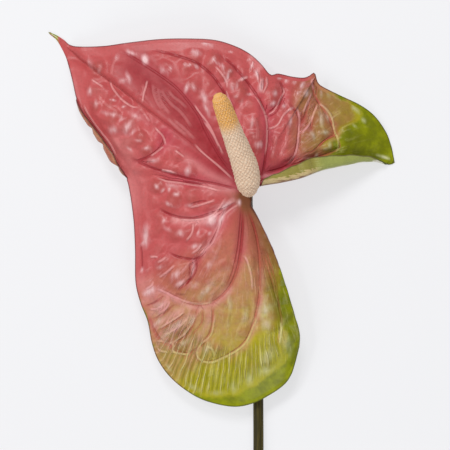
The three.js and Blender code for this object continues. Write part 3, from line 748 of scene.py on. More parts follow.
# Painted highlights: x, y, half length, half width, lean in degrees and strength
PAINTED_HIGHLIGHTS = [
    (-99.2, 77.3, 3.2, 1.1, 145, 0.8), (-64.2, 54.2, 1.8, 1.5, 0, 0.6), (-61.2, 55.6, 3.4, 1.3, 112, 0.6),
    (-67.7, 65.6, 2.2, 1.2, 60, 0.5), (-80.6, 63.8, 3.2, 1.3, 105, 0.4), (-76, 60, 2.4, 1.1, 80, 0.5),
    (-60, 68.1, 2.8, 1.2, 155, 0.65), (-53.5, 64.8, 3, 1.9, 130, 0.75), (-43.9, 59.4, 2.6, 1.7, 125, 0.65),
    (-40.4, 60.2, 2, 0.8, 85, 0.5), (-33.4, 62.1, 1.2, 0.9, 80, 0.85), (-31, 62, 1, 0.8, 80, 0.6),
    (-28, 61.3, 1.4, 0.9, 120, 0.8), (-32.4, 50.3, 2.8, 1.2, 72, 0.6), (-29.3, 51, 2.4, 1, 105, 0.45),
    (-80.6, 49.2, 2.5, 1.4, 80, 0.55), (-77.7, 42.9, 2.2, 1.1, 88, 0.4), (-69.1, 44.7, 1.7, 0.7, 172, 0.7),
    (-63.9, 41.3, 1.1, 0.7, 20, 0.5), (-70.2, 37.5, 4.6, 1.3, 165, 0.5), (-64.3, 35, 2.6, 0.9, 20, 0.4),
    (-68.9, 30, 2.4, 2, 0, 0.45), (-61.8, 31.3, 3.4, 2.3, 55, 0.5), (-59.3, 28.6, 2.2, 1.3, 60, 0.5),
    (-57.7, 36.7, 2.8, 1.7, 0, 0.3), (-56.5, 24.6, 2.4, 0.9, 170, 0.45), (-52.5, 20.8, 1.9, 1.1, 10, 0.55),
    (-61, 20.5, 2.2, 0.9, 140, 0.35), (-48.8, 14.5, 2.8, 1.4, 0, 0.45), (-41, 9.3, 3.2, 0.9, 168, 0.5),
    (-31.8, 9.5, 2.1, 1.7, 60, 0.65), (-47.5, 1.8, 1.6, 1, 135, 0.55), (-44.3, 0, 1.6, 0.8, 50, 0.6),
    (-41, 0.5, 1.5, 0.9, 75, 0.5), (-37.8, -2.3, 1.5, 1, 170, 0.55), (-40, 2, 4.2, 1.7, 170, 0.3),
    (-41, -7.3, 2.8, 1, 150, 0.45), (-31, -7.6, 2.6, 1.1, 10, 0.35), (-53.1, -22.9, 5.4, 2, 95, 0.65),
    (-54.1, -26.5, 2, 1.1, 40, 0.6), (-43.9, -15.4, 1.8, 1.1, 60, 0.35),
    (-41.8, -19.6, 2.4, 1.1, 150, 0.35), (-35.6, -21.7, 1.9, 1.7, 0, 0.4),
    (-26.8, -21.3, 2.2, 0.8, 75, 0.55), (-21.4, -21.7, 1.3, 1, 40, 0.55),
    (-28.1, -27.9, 2.8, 1.4, 20, 0.45), (-19.8, -14.4, 4, 3, 60, 0.6), (-15.6, -14.6, 4.6, 2, 65, 0.55),
    (-13.1, -7.5, 4.2, 1.4, 45, 0.45), (-6.4, -6.3, 1.7, 1.1, 90, 0.7), (-54.8, -40, 1.8, 1.1, 60, 0.5),
    (-37.7, -42, 2.9, 1.8, 45, 0.5), (-36, -46.5, 2.7, 1.3, 30, 0.45), (-45.2, -38.3, 2.4, 1.1, 20, 0.35),
    (-29.1, -38.8, 4.2, 1.2, 85, 0.5), (-50.6, -50.4, 4.4, 1.8, 28, 0.6), (31, 57, 1.2, 0.7, 100, 0.8),
    (-47, -66, 3.4, 1.2, 40, 0.45), (-43, -72.5, 3, 1.1, 40, 0.4), (-30, -65, 3.6, 1.2, 60, 0.35),
    (-21, -37.5, 3.2, 1.5, 65, 0.35), (-22.4, -49.7, 5.2, 1.7, 45, 0.4), (-28.5, -47.5, 3.2, 1.3, 45, 0.35),
    (-11.3, -55.8, 4.4, 1.2, 95, 0.35), (-3.5, -62, 4, 1.3, 75, 0.35), (6.5, -59.7, 4.6, 3, 90, 0.6),
    (7.4, -66.6, 4.4, 2.5, 80, 0.45), (14.3, -70.3, 5.6, 1.1, 84, 0.5), (17, -76.5, 6, 2.2, 105, 0.4),
    (7.6, -82.5, 5.4, 3.6, 60, 0.4), (6.5, -89.6, 4.4, 2.4, 35, 0.45), (-1.3, -94.4, 3, 2, 90, 0.45),
    (-9.1, -98, 3.2, 1.8, 90, 0.4), (-18, -101, 4.2, 1.4, 0, 0.35), (-29, -98.5, 3.4, 1.5, 150, 0.35),
    (-41.8, -88.6, 2.4, 1.5, 135, 0.45), (-22.4, -79, 4.2, 2, 50, 0.35), (-34, -76.3, 4.4, 1.5, 35, 0.35),
    (-38, -67.5, 5, 1.7, 35, 0.4), (-45, -57, 3, 1.5, 25, 0.45), (-23.1, 72.9, 3.6, 1.4, 158, 0.65),
    (-28.3, 68.1, 2.5, 1.9, 150, 0.8), (-24.1, 46, 4.4, 1.6, 110, 0.45), (-22.7, 40, 3.8, 1.1, 115, 0.4),
    (-19.3, 64.5, 1.6, 0.8, 72, 0.7), (-17.3, 62.7, 1.4, 0.8, 110, 0.55), (-14.8, 61, 2.2, 0.9, 100, 0.55),
    (-12.4, 56, 3, 1.1, 82, 0.65), (-11.2, 58.6, 1.3, 0.8, 45, 0.6), (-10.6, 68.5, 1.1, 0.7, 0, 0.7),
    (-9.8, 50.6, 3.6, 1.3, 105, 0.5), (-5.2, 54.8, 2.4, 0.8, 35, 0.7), (-7.7, 51, 2.2, 0.8, 82, 0.45),
    (-8.1, 46.2, 1.4, 0.9, 30, 0.5), (-1, 47.3, 2, 0.8, 0, 0.5), (-1.4, 64.8, 1.4, 0.7, 40, 0.6),
    (0, 61.8, 3, 0.8, 62, 0.65), (2.3, 57.3, 3.2, 1, 105, 0.6), (4.4, 51.4, 3.6, 1.1, 78, 0.6),
    (11.1, 47.7, 1.9, 1.5, 90, 0.5), (10.3, 43, 1.9, 1.3, 30, 0.6), (14, 55.6, 1.8, 1, 0, 0.5),
    (17, 54, 1.7, 1.4, 60, 0.6), (21, 53.5, 1.3, 0.9, 60, 0.6), (24.8, 51.8, 2.6, 1.3, 62, 0.65),
    (23, 48, 1.3, 0.8, 70, 0.55), (27, 48, 2.4, 1.4, 60, 0.6), (15.8, 41.5, 1.5, 1.1, 30, 0.5),
    (19, 40, 2, 0.8, 35, 0.6), (18.8, 34, 2.8, 0.9, 82, 0.5), (3.3, 22.5, 2, 1.6, 60, 0.75),
    (-5.4, 42.3, 2.8, 1, 85, 0.35), (-0.2, 32.7, 4.4, 1.2, 82, 0.35), (34.2, 35, 4.2, 1.2, 98, 0.5),
    (37, 36.5, 2.6, 1, 110, 0.45), (36, 28.5, 2.2, 1.3, 0, 0.6), (30, 27, 2.8, 1.2, 120, 0.45),
    (38.5, 22, 2.4, 1, 85, 0.55), (36.5, 20.5, 1.7, 1, 0, 0.35), (31.5, 17, 1.4, 1, 45, 0.6),
    (27.5, 16, 2.2, 1.1, 10, 0.4), (38, 48, 3.2, 1.1, 95, 0.35), (66, 16.4, 5.5, 0.9, 166, 0.85),
    (42.5, 46, 2.2, 1.1, 150, 0.4), (51.5, 40, 2.8, 1.4, 140, 0.55), (55.5, 34.5, 1.7, 1.2, 130, 0.6),
    (51, 31.8, 1.8, 0.8, 140, 0.5), (34.2, 48.5, 3.2, 0.9, 92, 0.4), (70.6, 15.2, 3, 1.2, 120, 0.7),
]
RIB_REACH = 3.0
VEIN_LINE_REACH = 5.0
# Places where the blade swells between its veins: x, y and radius
BLISTERS = [
    (-77.5, 62.5, 4.5), (-68, 66, 4), (-63, 55.5, 5), (-59, 68, 4), (-53.5, 65, 4), (-44, 60, 4.5),
    (-29, 67.5, 4.5), (-30.5, 62, 3), (-80.5, 49.5, 4.5), (-77.5, 42.5, 4), (-69.5, 45, 3.5),
    (-70, 37.5, 6), (-61, 33, 6.5), (-68.5, 31.5, 5), (-57, 25, 4.5), (-52.5, 21, 4),
    (-63.5, 21.5, 5), (-48.5, 14.5, 5), (-40.5, 9.5, 4), (-32, 9.5, 4.5), (-31, 50, 4.5),
    (-19.5, 64, 4), (-14, 57.5, 4), (-24.5, 73.5, 3.5), (-9.5, 52.5, 4), (-4.5, 55, 3.5),
    (-6, 47.5, 4), (3, 22, 4.5), (16.5, 54, 3.5), (10.5, 47.5, 4.5), (10, 43.5, 3), (25, 51, 4),
    (26.5, 46.5, 3.5), (35.5, 35, 4.5), (39, 21.5, 3.5), (29.5, 28.5, 3), (34, 28.5, 3),
    (30.5, 15, 3), (-44.5, -17.5, 3.5), (-36, -21.5, 5), (-47, 1.5, 3.5), (-38, -2.5, 4),
    (-41, -7.5, 5), (-31, -2.5, 5), (-53.5, -21, 5), (-36, -42.5, 5), (-34.5, -47.5, 4),
    (-51, -51.5, 5), (-43.5, -36, 4), (-42, -41, 4), (-23.5, -42.5, 6), (-18.5, -25, 4),
    (-26, -25, 4), (6.5, -57.5, 5), (9, -65, 5), (16.5, -75, 5), (6.5, -85, 4.5),
    (-18.5, -77.5, 4.5), (-38.5, -67.5, 5), (-46, -57.5, 4.5), (-25.5, -49, 4),
]
# The smooth valley between the hub and the long tip
VALLEY = [(-13.5, 9), (-31, 34), (-43.5, 48), (-58, 60)]


@dataclass(frozen=True)
class PaleBand:
    """A soft pale band of the skin: partly paler skin, partly painted highlight."""

    width: float
    strength: float
    points: list


PALE_BANDS = [
    PaleBand(2.1, 0.6, [(-38, -15), (-31, -15.5), (-22, -14.5), (-15, -9), (-9, -6)]),
    PaleBand(1.9, 0.55, [(-12, -8), (-16, -16), (-19, -24), (-24, -31)]),
    PaleBand(1.6, 0.45, [(-46, -50), (-38, -54.5), (-28, -58.5), (-18, -56), (-11, -49)]),
    PaleBand(1.4, 0.3, [(4.6, -40), (4.4, -53), (1.8, -66), (-3, -77), (-11, -83)]),
    PaleBand(3.2, 0.3, [(-10, -1), (-16, 1), (-24, 2)]),
    PaleBand(6, 0.2, [(-66, 24), (-63, 16), (-60, 6), (-59, -5)]),
    PaleBand(4, 0.3, [(-54, -46), (-50, -54), (-46, -62)]),
    PaleBand(2.2, 0.3, [(-12, 3.5), (-22, 8), (-32, 15)]),
    PaleBand(1.7, 0.5, [(-42, -55.5), (-45, -58.5), (-50, -61.5)]),
    PaleBand(1.8, 0.5, [(-35, -60), (-41, -63.5), (-48, -67.5)]),
    PaleBand(1.7, 0.45, [(-31, -62.5), (-37, -68), (-44.5, -72)]),
    PaleBand(1.6, 0.4, [(-46, -50.5), (-50, -53), (-54, -55.5)]),
    PaleBand(1.6, 0.35, [(-21, -60), (-22.5, -67), (-27, -74)]),
]
# Ripeness of the lower lobe by the place down its slant, and of the right lobe by x
LOWER_RIPENESS: Table = [(18, 0), (34, 0.18), (54, 0.38), (78, 0.5), (90, 0.68), (106, 0.8)]
RIGHT_RIPENESS: Table = [(15, 0), (23.5, 0.28), (34, 0.42), (46, 0.5), (56, 0.62)]
# Lime green: width of the strip along the notch by y, width of the border by the share of the
# way round, and where it starts on the right lobe by y
LIME_STRIP: Table = [(-78, 6.5), (-65, 5), (-50, 3), (-42, 1.2), (-36, -1)]
LIME_WIDTH: Table = [
    (0.84, 0), (0.863, 1.5), (0.893, 5), (0.914, 8), (0.94, 10), (0.965, 10), (1, 6),
]
LIME_BORDER: Table = [(22, 41), (29, 47), (36, 56), (44, 54), (52, 46)]
# Where the pleats start and end on the way out, by the share of the way round
PLEAT_START: Table = [(0.7, 0.86), (0.76, 0.79), (0.82, 0.72), (0.9, 0.72), (0.96, 0.68)]
PLEAT_END: Table = [(0.85, 1.02), (0.87, 0.99), (0.893, 0.95), (0.914, 0.92), (0.94, 0.89)]
SPADIX_LINE = [
    (-0.9, -3.2, 28.6), (-1.8, 0.8, 31.4), (-3.2, 10, 37), (-6.8, 20, 43), (-10.7, 30, 49.2),
    (-14.4, 40, 55.6), (-17.4, 47, 60),
]
SPADIX_RADII: Table = [
    (0, 0.02), (0.02, 2.2), (0.05, 3.7), (0.1, 5.2), (0.17, 6), (0.28, 6.1), (0.45, 5.5),
    (0.6, 4.9), (0.75, 4.5), (0.88, 4.1), (0.94, 3.4), (0.98, 2.1), (1, 0.02),
]


# The spathe

LINE_WIDTHS = {"rib": 0.74, "wrinkle": 1.0, "crease": 0.6, "vein": 0.9}


@dataclass(frozen=True)
class SpatheFinish:
    """Waxy skin of the spathe's face, from rose over tan to lime green, with painted highlights and painted
    shade.

    A share says how strongly a colour covers the skin. Heights and depths are millimetres.
    """

    rose: tuple = srgb(192, 85, 85)
    coral: tuple = srgb(186, 110, 86)
    tan: tuple = srgb(182, 138, 86)
    olive: tuple = srgb(180, 168, 26)
    lime: tuple = srgb(148, 154, 0)
    dark_lime: tuple = srgb(120, 126, 0)
    bronze: tuple = srgb(126, 92, 22)
    moss: tuple = srgb(100, 102, 6)
    brick: tuple = srgb(170, 76, 70)
    pink: tuple = srgb(202, 82, 98)
    brown: tuple = srgb(126, 82, 42)
    dark_brown: tuple = srgb(84, 44, 24)
    crimson: tuple = srgb(150, 30, 40)
    ripe_vein: tuple = srgb(188, 96, 74)
    light_rose: tuple = srgb(234, 164, 162)
    straw: tuple = srgb(214, 204, 124)
    # Colours of the painted highlights and of their brighter painted cores
    highlight_colour: tuple = srgb(238, 192, 194)
    green_highlight_colour: tuple = srgb(210, 212, 156)
    glint: tuple = srgb(252, 232, 230)
    rim: tuple = srgb(104, 46, 48)
    green_rim: tuple = srgb(74, 78, 16)
    pleat_width: float = 3.4
    brick_share: float = 0.6
    pink_share: float = 0.7
    vein_share: float = 0.7
    crease_share: float = 0.55
    pleat_shade_share: float = 0.5
    rib_share: float = 0.58
    wrinkle_share: float = 0.18
    fan_share: float = 0.34
    pleat_share: float = 0.8
    painted_highlight_share: float = 0.85
    glint_share: float = 0.5
    grain_share: float = 0.16
    pucker_height: float = 0.4
    pore_height: float = 0.03
    painted_highlight_height: float = 0.15
    rib_height: float = 0.28
    wrinkle_height: float = 0.15
    pleat_height: float = 0.7
    fan_height: float = 0.12
    vein_depth: float = 0.3
    crease_depth: float = 0.25

    board: Board = field(default_factory=lambda: Board("spathe_face"))

    def make(self) -> bpy.types.Material:
        """Builds the material.

        Returns:
            The material.
        """
        board = self.board
        board.feed("Base Color", self.colour())
        board.feed("Roughness", 0.26 + board.noise(500.0) * 0.14 + board.mask("deep_and_shaded") * 0.2)
        board.feed("IOR", 1.44)
        board.feed("Specular IOR Level", 0.32)
        board.bump(self.height(), MM)
        return board.material

    @cached_property
    def ripe(self) -> Wire:
        """How far the rose has turned to green."""
        mottle = self.board.shake(90.0, 0.2) + self.board.shake(380.0, 0.2)
        return self.board.mask("ripe") + mottle * self.board.mask("ripe").step(0.0, 0.3)

    @cached_property
    def fresh(self) -> Wire:
        """Share of the rose that is left."""
        return 1 - self.ripe * 0.8

    @cached_property
    def limed(self) -> Wire:
        """Share of the lime green."""
        return (self.board.mask("lime") + self.board.shake(260.0, 1.1)).step(0.25, 0.8)

    @cached_property
    def lines(self) -> dict:
        """Draws the lines and the painted highlights.

        Returns:
            Strength of each kind by name.
        """
        lines = {kind: self.line(kind) for kind in LINE_WIDTHS}
        lines["pleat"] = self.pleats()
        lines["fan"] = self.outward_noise(2.5, 9, 3.0).step(0.5, 0.72) * self.board.mask("fan")
        lines["painted_highlight"] = self.painted_highlight(1.7, 0.1)
        lines["glint"] = self.painted_highlight(0.75, 0.0)
        return lines

    def line(self, kind: str) -> Wire:
        """Draws the lines of one kind: 1 on a line, 0 at its width and beyond."""
        side = self.board.mask(kind + "_side")
        return (side * side).step(LINE_WIDTHS[kind] ** 2, 0.0) * self.board.mask(kind + "_near")

    def outward_noise(self, width: float, length: float, detail: float) -> Wire:
        """Noise drawn out along the way from the hub to the margin.

        Args:
            width: size of its waves round the edge, in millimetres.
            length: size of its waves on the way out, in millimetres.
            detail: octaves.

        Returns:
            The noise's value.
        """
        run, out = self.board.mask("run") * (1 / width), self.board.mask("out") * (1 / length)
        place = self.board.add("ShaderNodeCombineXYZ", {}, {"X": run, "Y": out})
        return self.board.noise_at(place, 1.0, detail, 0.6)

    def pleats(self) -> Wire:
        """Draws the ridges that run out to the lower margin: 1 on a ridge."""
        broken = 0.15 + self.outward_noise(3, 9, 1.0).step(0.32, 0.62) * 0.85
        return self.pleat_wave().step(0.3, 1.0) * self.board.mask("pleat") * broken

    def pleat_wave(self) -> Wire:
        """Waves with their crests along the pleats: 1 on a crest, -1 in a hollow."""
        shaken = self.outward_noise(7, 22, 2.0) * 11
        return (self.board.mask("run") * (math.tau / self.pleat_width) + shaken).sine()

    def painted_highlight(self, border: float, core: float) -> Wire:
        """Draws the painted highlights with streaky borders.

        Args:
            border: where a place ends, as a share of its own size.
            core: how far its full strength reaches.

        Returns:
            1 in the core, 0 outside the border.
        """
        streak = self.board.streaks((1.0, 0.3, 0.6), 480.0, 2.0) - 0.5
        away = self.board.mask("highlight_away") + streak * 1.7
        return away.step(border, core) ** 1.5 * self.board.mask("highlight_strength")

    def colour(self) -> Wire:
        """Mixes the skin's colour, painted highlights and painted shade included.

        Returns:
            The colour.
        """
        board, ripe = self.board, self.ripe
        green = board.blend(board.noise(170.0).step(0.3, 0.65), self.lime, self.dark_lime)
        highlight_colour = board.blend(ripe.step(0.15, 0.6) + self.limed, self.highlight_colour, self.green_highlight_colour)
        rim = board.blend(ripe.step(0.5, 0.9) + self.limed, self.rim, self.green_rim)
        skin = board.ramp(ripe, [
            (0.0, self.rose), (0.2, self.coral), (0.42, self.tan), (0.7, self.olive),
            (1.0, self.lime),
        ])
        return board.coat(skin, [
            *self.tints(),
            (self.limed, green),
            *self.drawn_lines(),
            # Painted highlights, with brighter painted cores
            (self.lines["painted_highlight"] * self.painted_highlight_share, highlight_colour),
            (self.lines["glint"] * self.fresh * self.glint_share, self.glint),
            (board.noise(800.0).step(0.4, 0.8) * self.grain_share, self.dark_brown),
            (board.mask("edge").step(0.75, 0.2) * board.mask("lined"), rim),
            (board.mask("hub_rim"), self.dark_brown),
        ])

    def tints(self) -> list:
        """Soft tints of the skin, with painted shade and painted highlight among them.

        Returns:
            (share, colour) pairs, the lowest first.
        """
        board, fresh = self.board, self.fresh
        streaky = 1 + board.shake(240.0, 0.9)
        swell = (board.mask("swell") + board.shake(260.0, 0.7)).step(0.2, 0.95)
        near_vein = (board.mask("near_vein") + board.shake(150.0, 0.3)).step(0.15, 0.8)
        return [
            (swell * fresh * self.brick_share, self.brick),
            (board.mask("bronze") * streaky, self.bronze),
            (near_vein * fresh * self.pink_share, self.pink),
            # Deeper crimson in the veins and the smooth valley: partly the skin's own red, partly painted
            # shade
            (board.mask("deep_and_shaded") * streaky * fresh, self.crimson),
            # Pale bands: partly paler skin, partly painted highlight
            (board.mask("pale") * (0.7 + fresh * 0.3), self.light_rose),
            # Brown along the notch, and round the spadix's foot partly painted shade beneath the spadix
            (board.mask("brown"), self.brown),
        ]

    def drawn_lines(self) -> list:
        """Dark and light lines of the skin, with painted shade in the pleats' hollows and painted highlight
        on crests.

        Returns:
            (share, colour) pairs, the lowest first.
        """
        board, ripe, lines = self.board, self.ripe, self.lines
        dark = lines["vein"] * self.vein_share + lines["crease"] * self.crease_share
        vein = board.blend(ripe.step(0.1, 0.5), self.crimson, self.ripe_vein)
        # Painted shade in the hollows between the pleats
        hollow = self.pleat_wave().step(0.0, -0.9)
        # Light lines: partly paler skin, partly painted highlight on the crests of the ribs, wrinkles and
        # pleats
        light = lines["rib"] * self.rib_share + lines["wrinkle"] * self.wrinkle_share
        light = light + lines["fan"] * self.fan_share + lines["pleat"] * self.pleat_share
        pale = board.blend(ripe.step(0.25, 0.6) + self.limed, self.light_rose, self.straw)
        return [
            (dark * (1 - ripe * 0.4), vein),
            (board.mask("pleat") * hollow * self.pleat_shade_share, self.moss),
            (board.mask("mossy"), self.moss),
            (light, pale),
        ]

    def height(self) -> Wire:
        """Puckers the skin, sinks the veins and raises the ribs and pleats.

        Returns:
            The height in millimetres.
        """
        height = self.board.noise(170.0, 0.6) * self.pucker_height * self.board.mask("pucker")
        height = height + self.board.noise(1200.0, 2.0) * self.pore_height
        for kind, own in [
            ("painted_highlight", self.painted_highlight_height), ("rib", self.rib_height), ("fan", self.fan_height),
            ("wrinkle", self.wrinkle_height), ("pleat", self.pleat_height),
            ("vein", -self.vein_depth), ("crease", -self.crease_depth),
        ]:
            height = height + self.lines[kind] * own
        return height


@dataclass(frozen=True)
class UnderFinish:
    """Duller skin of the spathe's back, striped where the notch margin rolls over; the stripes are partly
    painted light and shade round the roll.
    """

    rose: tuple = srgb(176, 96, 84)
    brown: tuple = srgb(140, 96, 60)
    khaki: tuple = srgb(198, 174, 120)
    olive: tuple = srgb(146, 136, 60)
    green: tuple = srgb(158, 164, 84)
    copper: tuple = srgb(170, 94, 70)
    clay: tuple = srgb(192, 136, 98)
    paper_highlight: tuple = srgb(226, 222, 204)
    rim: tuple = srgb(84, 62, 34)

    def make(self) -> bpy.types.Material:
        """Builds the material.

        Returns:
            The material.
        """
        board = Board("spathe_back")
        mottle = board.noise(120.0) - 0.5
        streak = board.streaks((0.12, 1.0, 1.0), 900.0, 2.0) - 0.5
        across = board.mask("across") + mottle * 0.12 + streak * 0.5
        # Bands round the roll: partly the back's own colours, partly painted light and shade round its fold
        body = board.ramp(across, [
            (0.0, self.rose), (0.4, self.rose), (0.47, self.rim), (0.54, self.brown),
            (0.68, self.brown), (0.8, self.khaki), (0.97, self.khaki), (1.0, self.olive),
        ])
        copper = board.blend(board.noise(170.0).step(0.4, 0.6) * 0.6, self.copper, self.clay)
        # Pale slivers along the roll's fold: partly a pale, dry edge, partly painted highlight
        highlight_slivers = board.mask("papery_highlight") * board.noise(90.0, 1.0).step(0.4, 0.5)
        board.feed("Base Color", board.coat(body, [
            ((board.mask("back") + mottle * 0.2).step(0.3, 0.8), self.green),
            (board.mask("lumps"), copper),
            (board.mask("edge").step(0.8, 0.2) * 0.75, self.rim),
            (highlight_slivers, self.paper_highlight),
        ]))
        board.feed("Roughness", 0.34 + board.noise(400.0) * 0.12)
        lumps = board.noise(190.0, 2.0) * board.mask("lumps") * 0.9
        board.bump(lumps + streak * 0.5 + board.noise(1300.0) * 0.06, MM)
        return board.material


@dataclass
class Relief:
    """Relief of the blade's face at the points of its grid, in millimetres.

    x and y are level places, u is the share of the way round the outer edge, and share is that
    of the way out from the hub.
    """

    x: Array
    y: Array
    u: Array
    share: Array
    vein_reach: float = 14
    vein_fade: float = 0.75
    hub_narrowing: float = 0.6
    hub_narrowing_reach: float = 30
    field_low: float = -110
    field_high: float = 85
    pillow_spacing: float = 8.0
    pillow_scatter: float = 0.45
    pillow_height: float = 1.0
    dome_height: float = 1.5
    dome_spread: float = 1.25
    top_length: float = 215
    left_length: float = 271
    valley_width: float = 10

    @classmethod
    def over(cls, x: Array, y: Array, u: Array, share: Array, **more: Array) -> "Relief":
        """Spreads the shares of the columns and of the rows over the whole grid."""
        return cls(x, y, u + 0 * x, share + 0 * x, **more)

    def from_hub(self) -> Array:
        """Distance from the hub's centre."""
        return np.hypot(self.x - HUB_CENTRE[0], self.y - HUB_CENTRE[1])

    def from_line(self, points: list, steps: int, reach: float) -> Array:
        """Signed distance from a smooth curve of so many straight steps, as far as the reach."""
        return nearest_on(evenly(points, steps), self.x, self.y, reach)[0]

    def panel(self, widen: float = 1.0) -> Array:
        """Works out the share of the full relief between the veins.

        Args:
            widen: factor on the veins' widths.

        Returns:
            0 in a vein, 1 on a panel.
        """
        near_hub = np.maximum(0, 1 - self.from_hub() / self.hub_narrowing_reach)
        slim = widen * (1 - self.hub_narrowing * near_hub)
        share = np.ones(self.x.shape)
        for vein in VEINS:
            line = evenly(vein.points, len(vein.points) * STEPS_PER_POINT)
            distance, place = nearest_on(line, self.x, self.y, self.vein_reach)
            depth = vein.depth * (1 - self.vein_fade * place)
            share *= 1 - depth * bell(distance, vein.width * slim)
        return share

    def domes(self) -> Array:
        """Swells the blade at the blisters.

        Returns:
            1 at their tops, 0 off them.
        """
        total = np.zeros(self.x.shape)
        for x, y, radius in BLISTERS:
            away = np.hypot(self.x - x, self.y - y) / (radius * self.dome_spread)
            total = np.maximum(total, np.clip(1 - away**2, 0, 1) ** 1.5)
        return total

    def pillows(self) -> Array:
        """Fills the panels with small pillows round seeds strewn on a shaken grid.

        Returns:
            Heights from 0 in the seams to 1 on the pillows.
        """
        draw = np.random.default_rng(11)
        steps = np.arange(self.field_low, self.field_high, self.pillow_spacing)
        seeds = []
        for side in np.meshgrid(steps, steps):
            shaken = draw.uniform(-self.pillow_scatter, self.pillow_scatter, side.size)
            seeds.append(side.ravel() + shaken * self.pillow_spacing)
        lead = np.empty(self.x.shape)
        for row, (x, y) in enumerate(zip(self.x, self.y)):
            away = np.hypot(x[:, None] - seeds[0], y[:, None] - seeds[1])
            nearest = np.partition(away, 1, axis=1)
            lead[row] = nearest[:, 1] - nearest[:, 0]
        return smooth_step(lead, 0, self.pillow_spacing * 0.75)

    def pleats(self) -> Array:
        """Works out where fine pleats fold the blade towards its lower margin.

        Returns:
            Their share, from 0 to 1.
        """
        start, end = look_up(PLEAT_START, self.u), look_up(PLEAT_END, self.u)
        out = window(self.share, start, start + 0.06, end - 0.04, end)
        return out * window(self.u, 0.74, 0.82, 0.95, 0.975)

    def pucker(self) -> Array:
        """Works out the share of the full relief.

        Returns:
            Less than 1 by the hub, the smooth margins, the main valley and the right end.
        """
        low_band = smooth_step(self.u, 0.84, 0.9)
        fade, end = 0.9 - 0.06 * low_band, 0.96 - 0.05 * low_band
        off_valley = 1 - bell(self.from_line(VALLEY, 20, 30), self.valley_width, 4)
        flat = off_valley * (1 - 0.8 * smooth_step(self.x, 46, 54))
        return flat * window(self.share, 0.12, 0.35, fade, end)

    def heights(self) -> Array:
        """Adds the domes and the pillows, which lie off the veins.

        Returns:
            Heights in millimetres.
        """
        domes = self.domes()
        pillows = self.pillow_height * self.pillows() * (1 - 0.7 * self.pleats())
        total = self.dome_height * domes + pillows * (1 - 0.5 * domes)
        return self.pucker() * smooth_step(self.panel(), 0.2, 0.8) * total


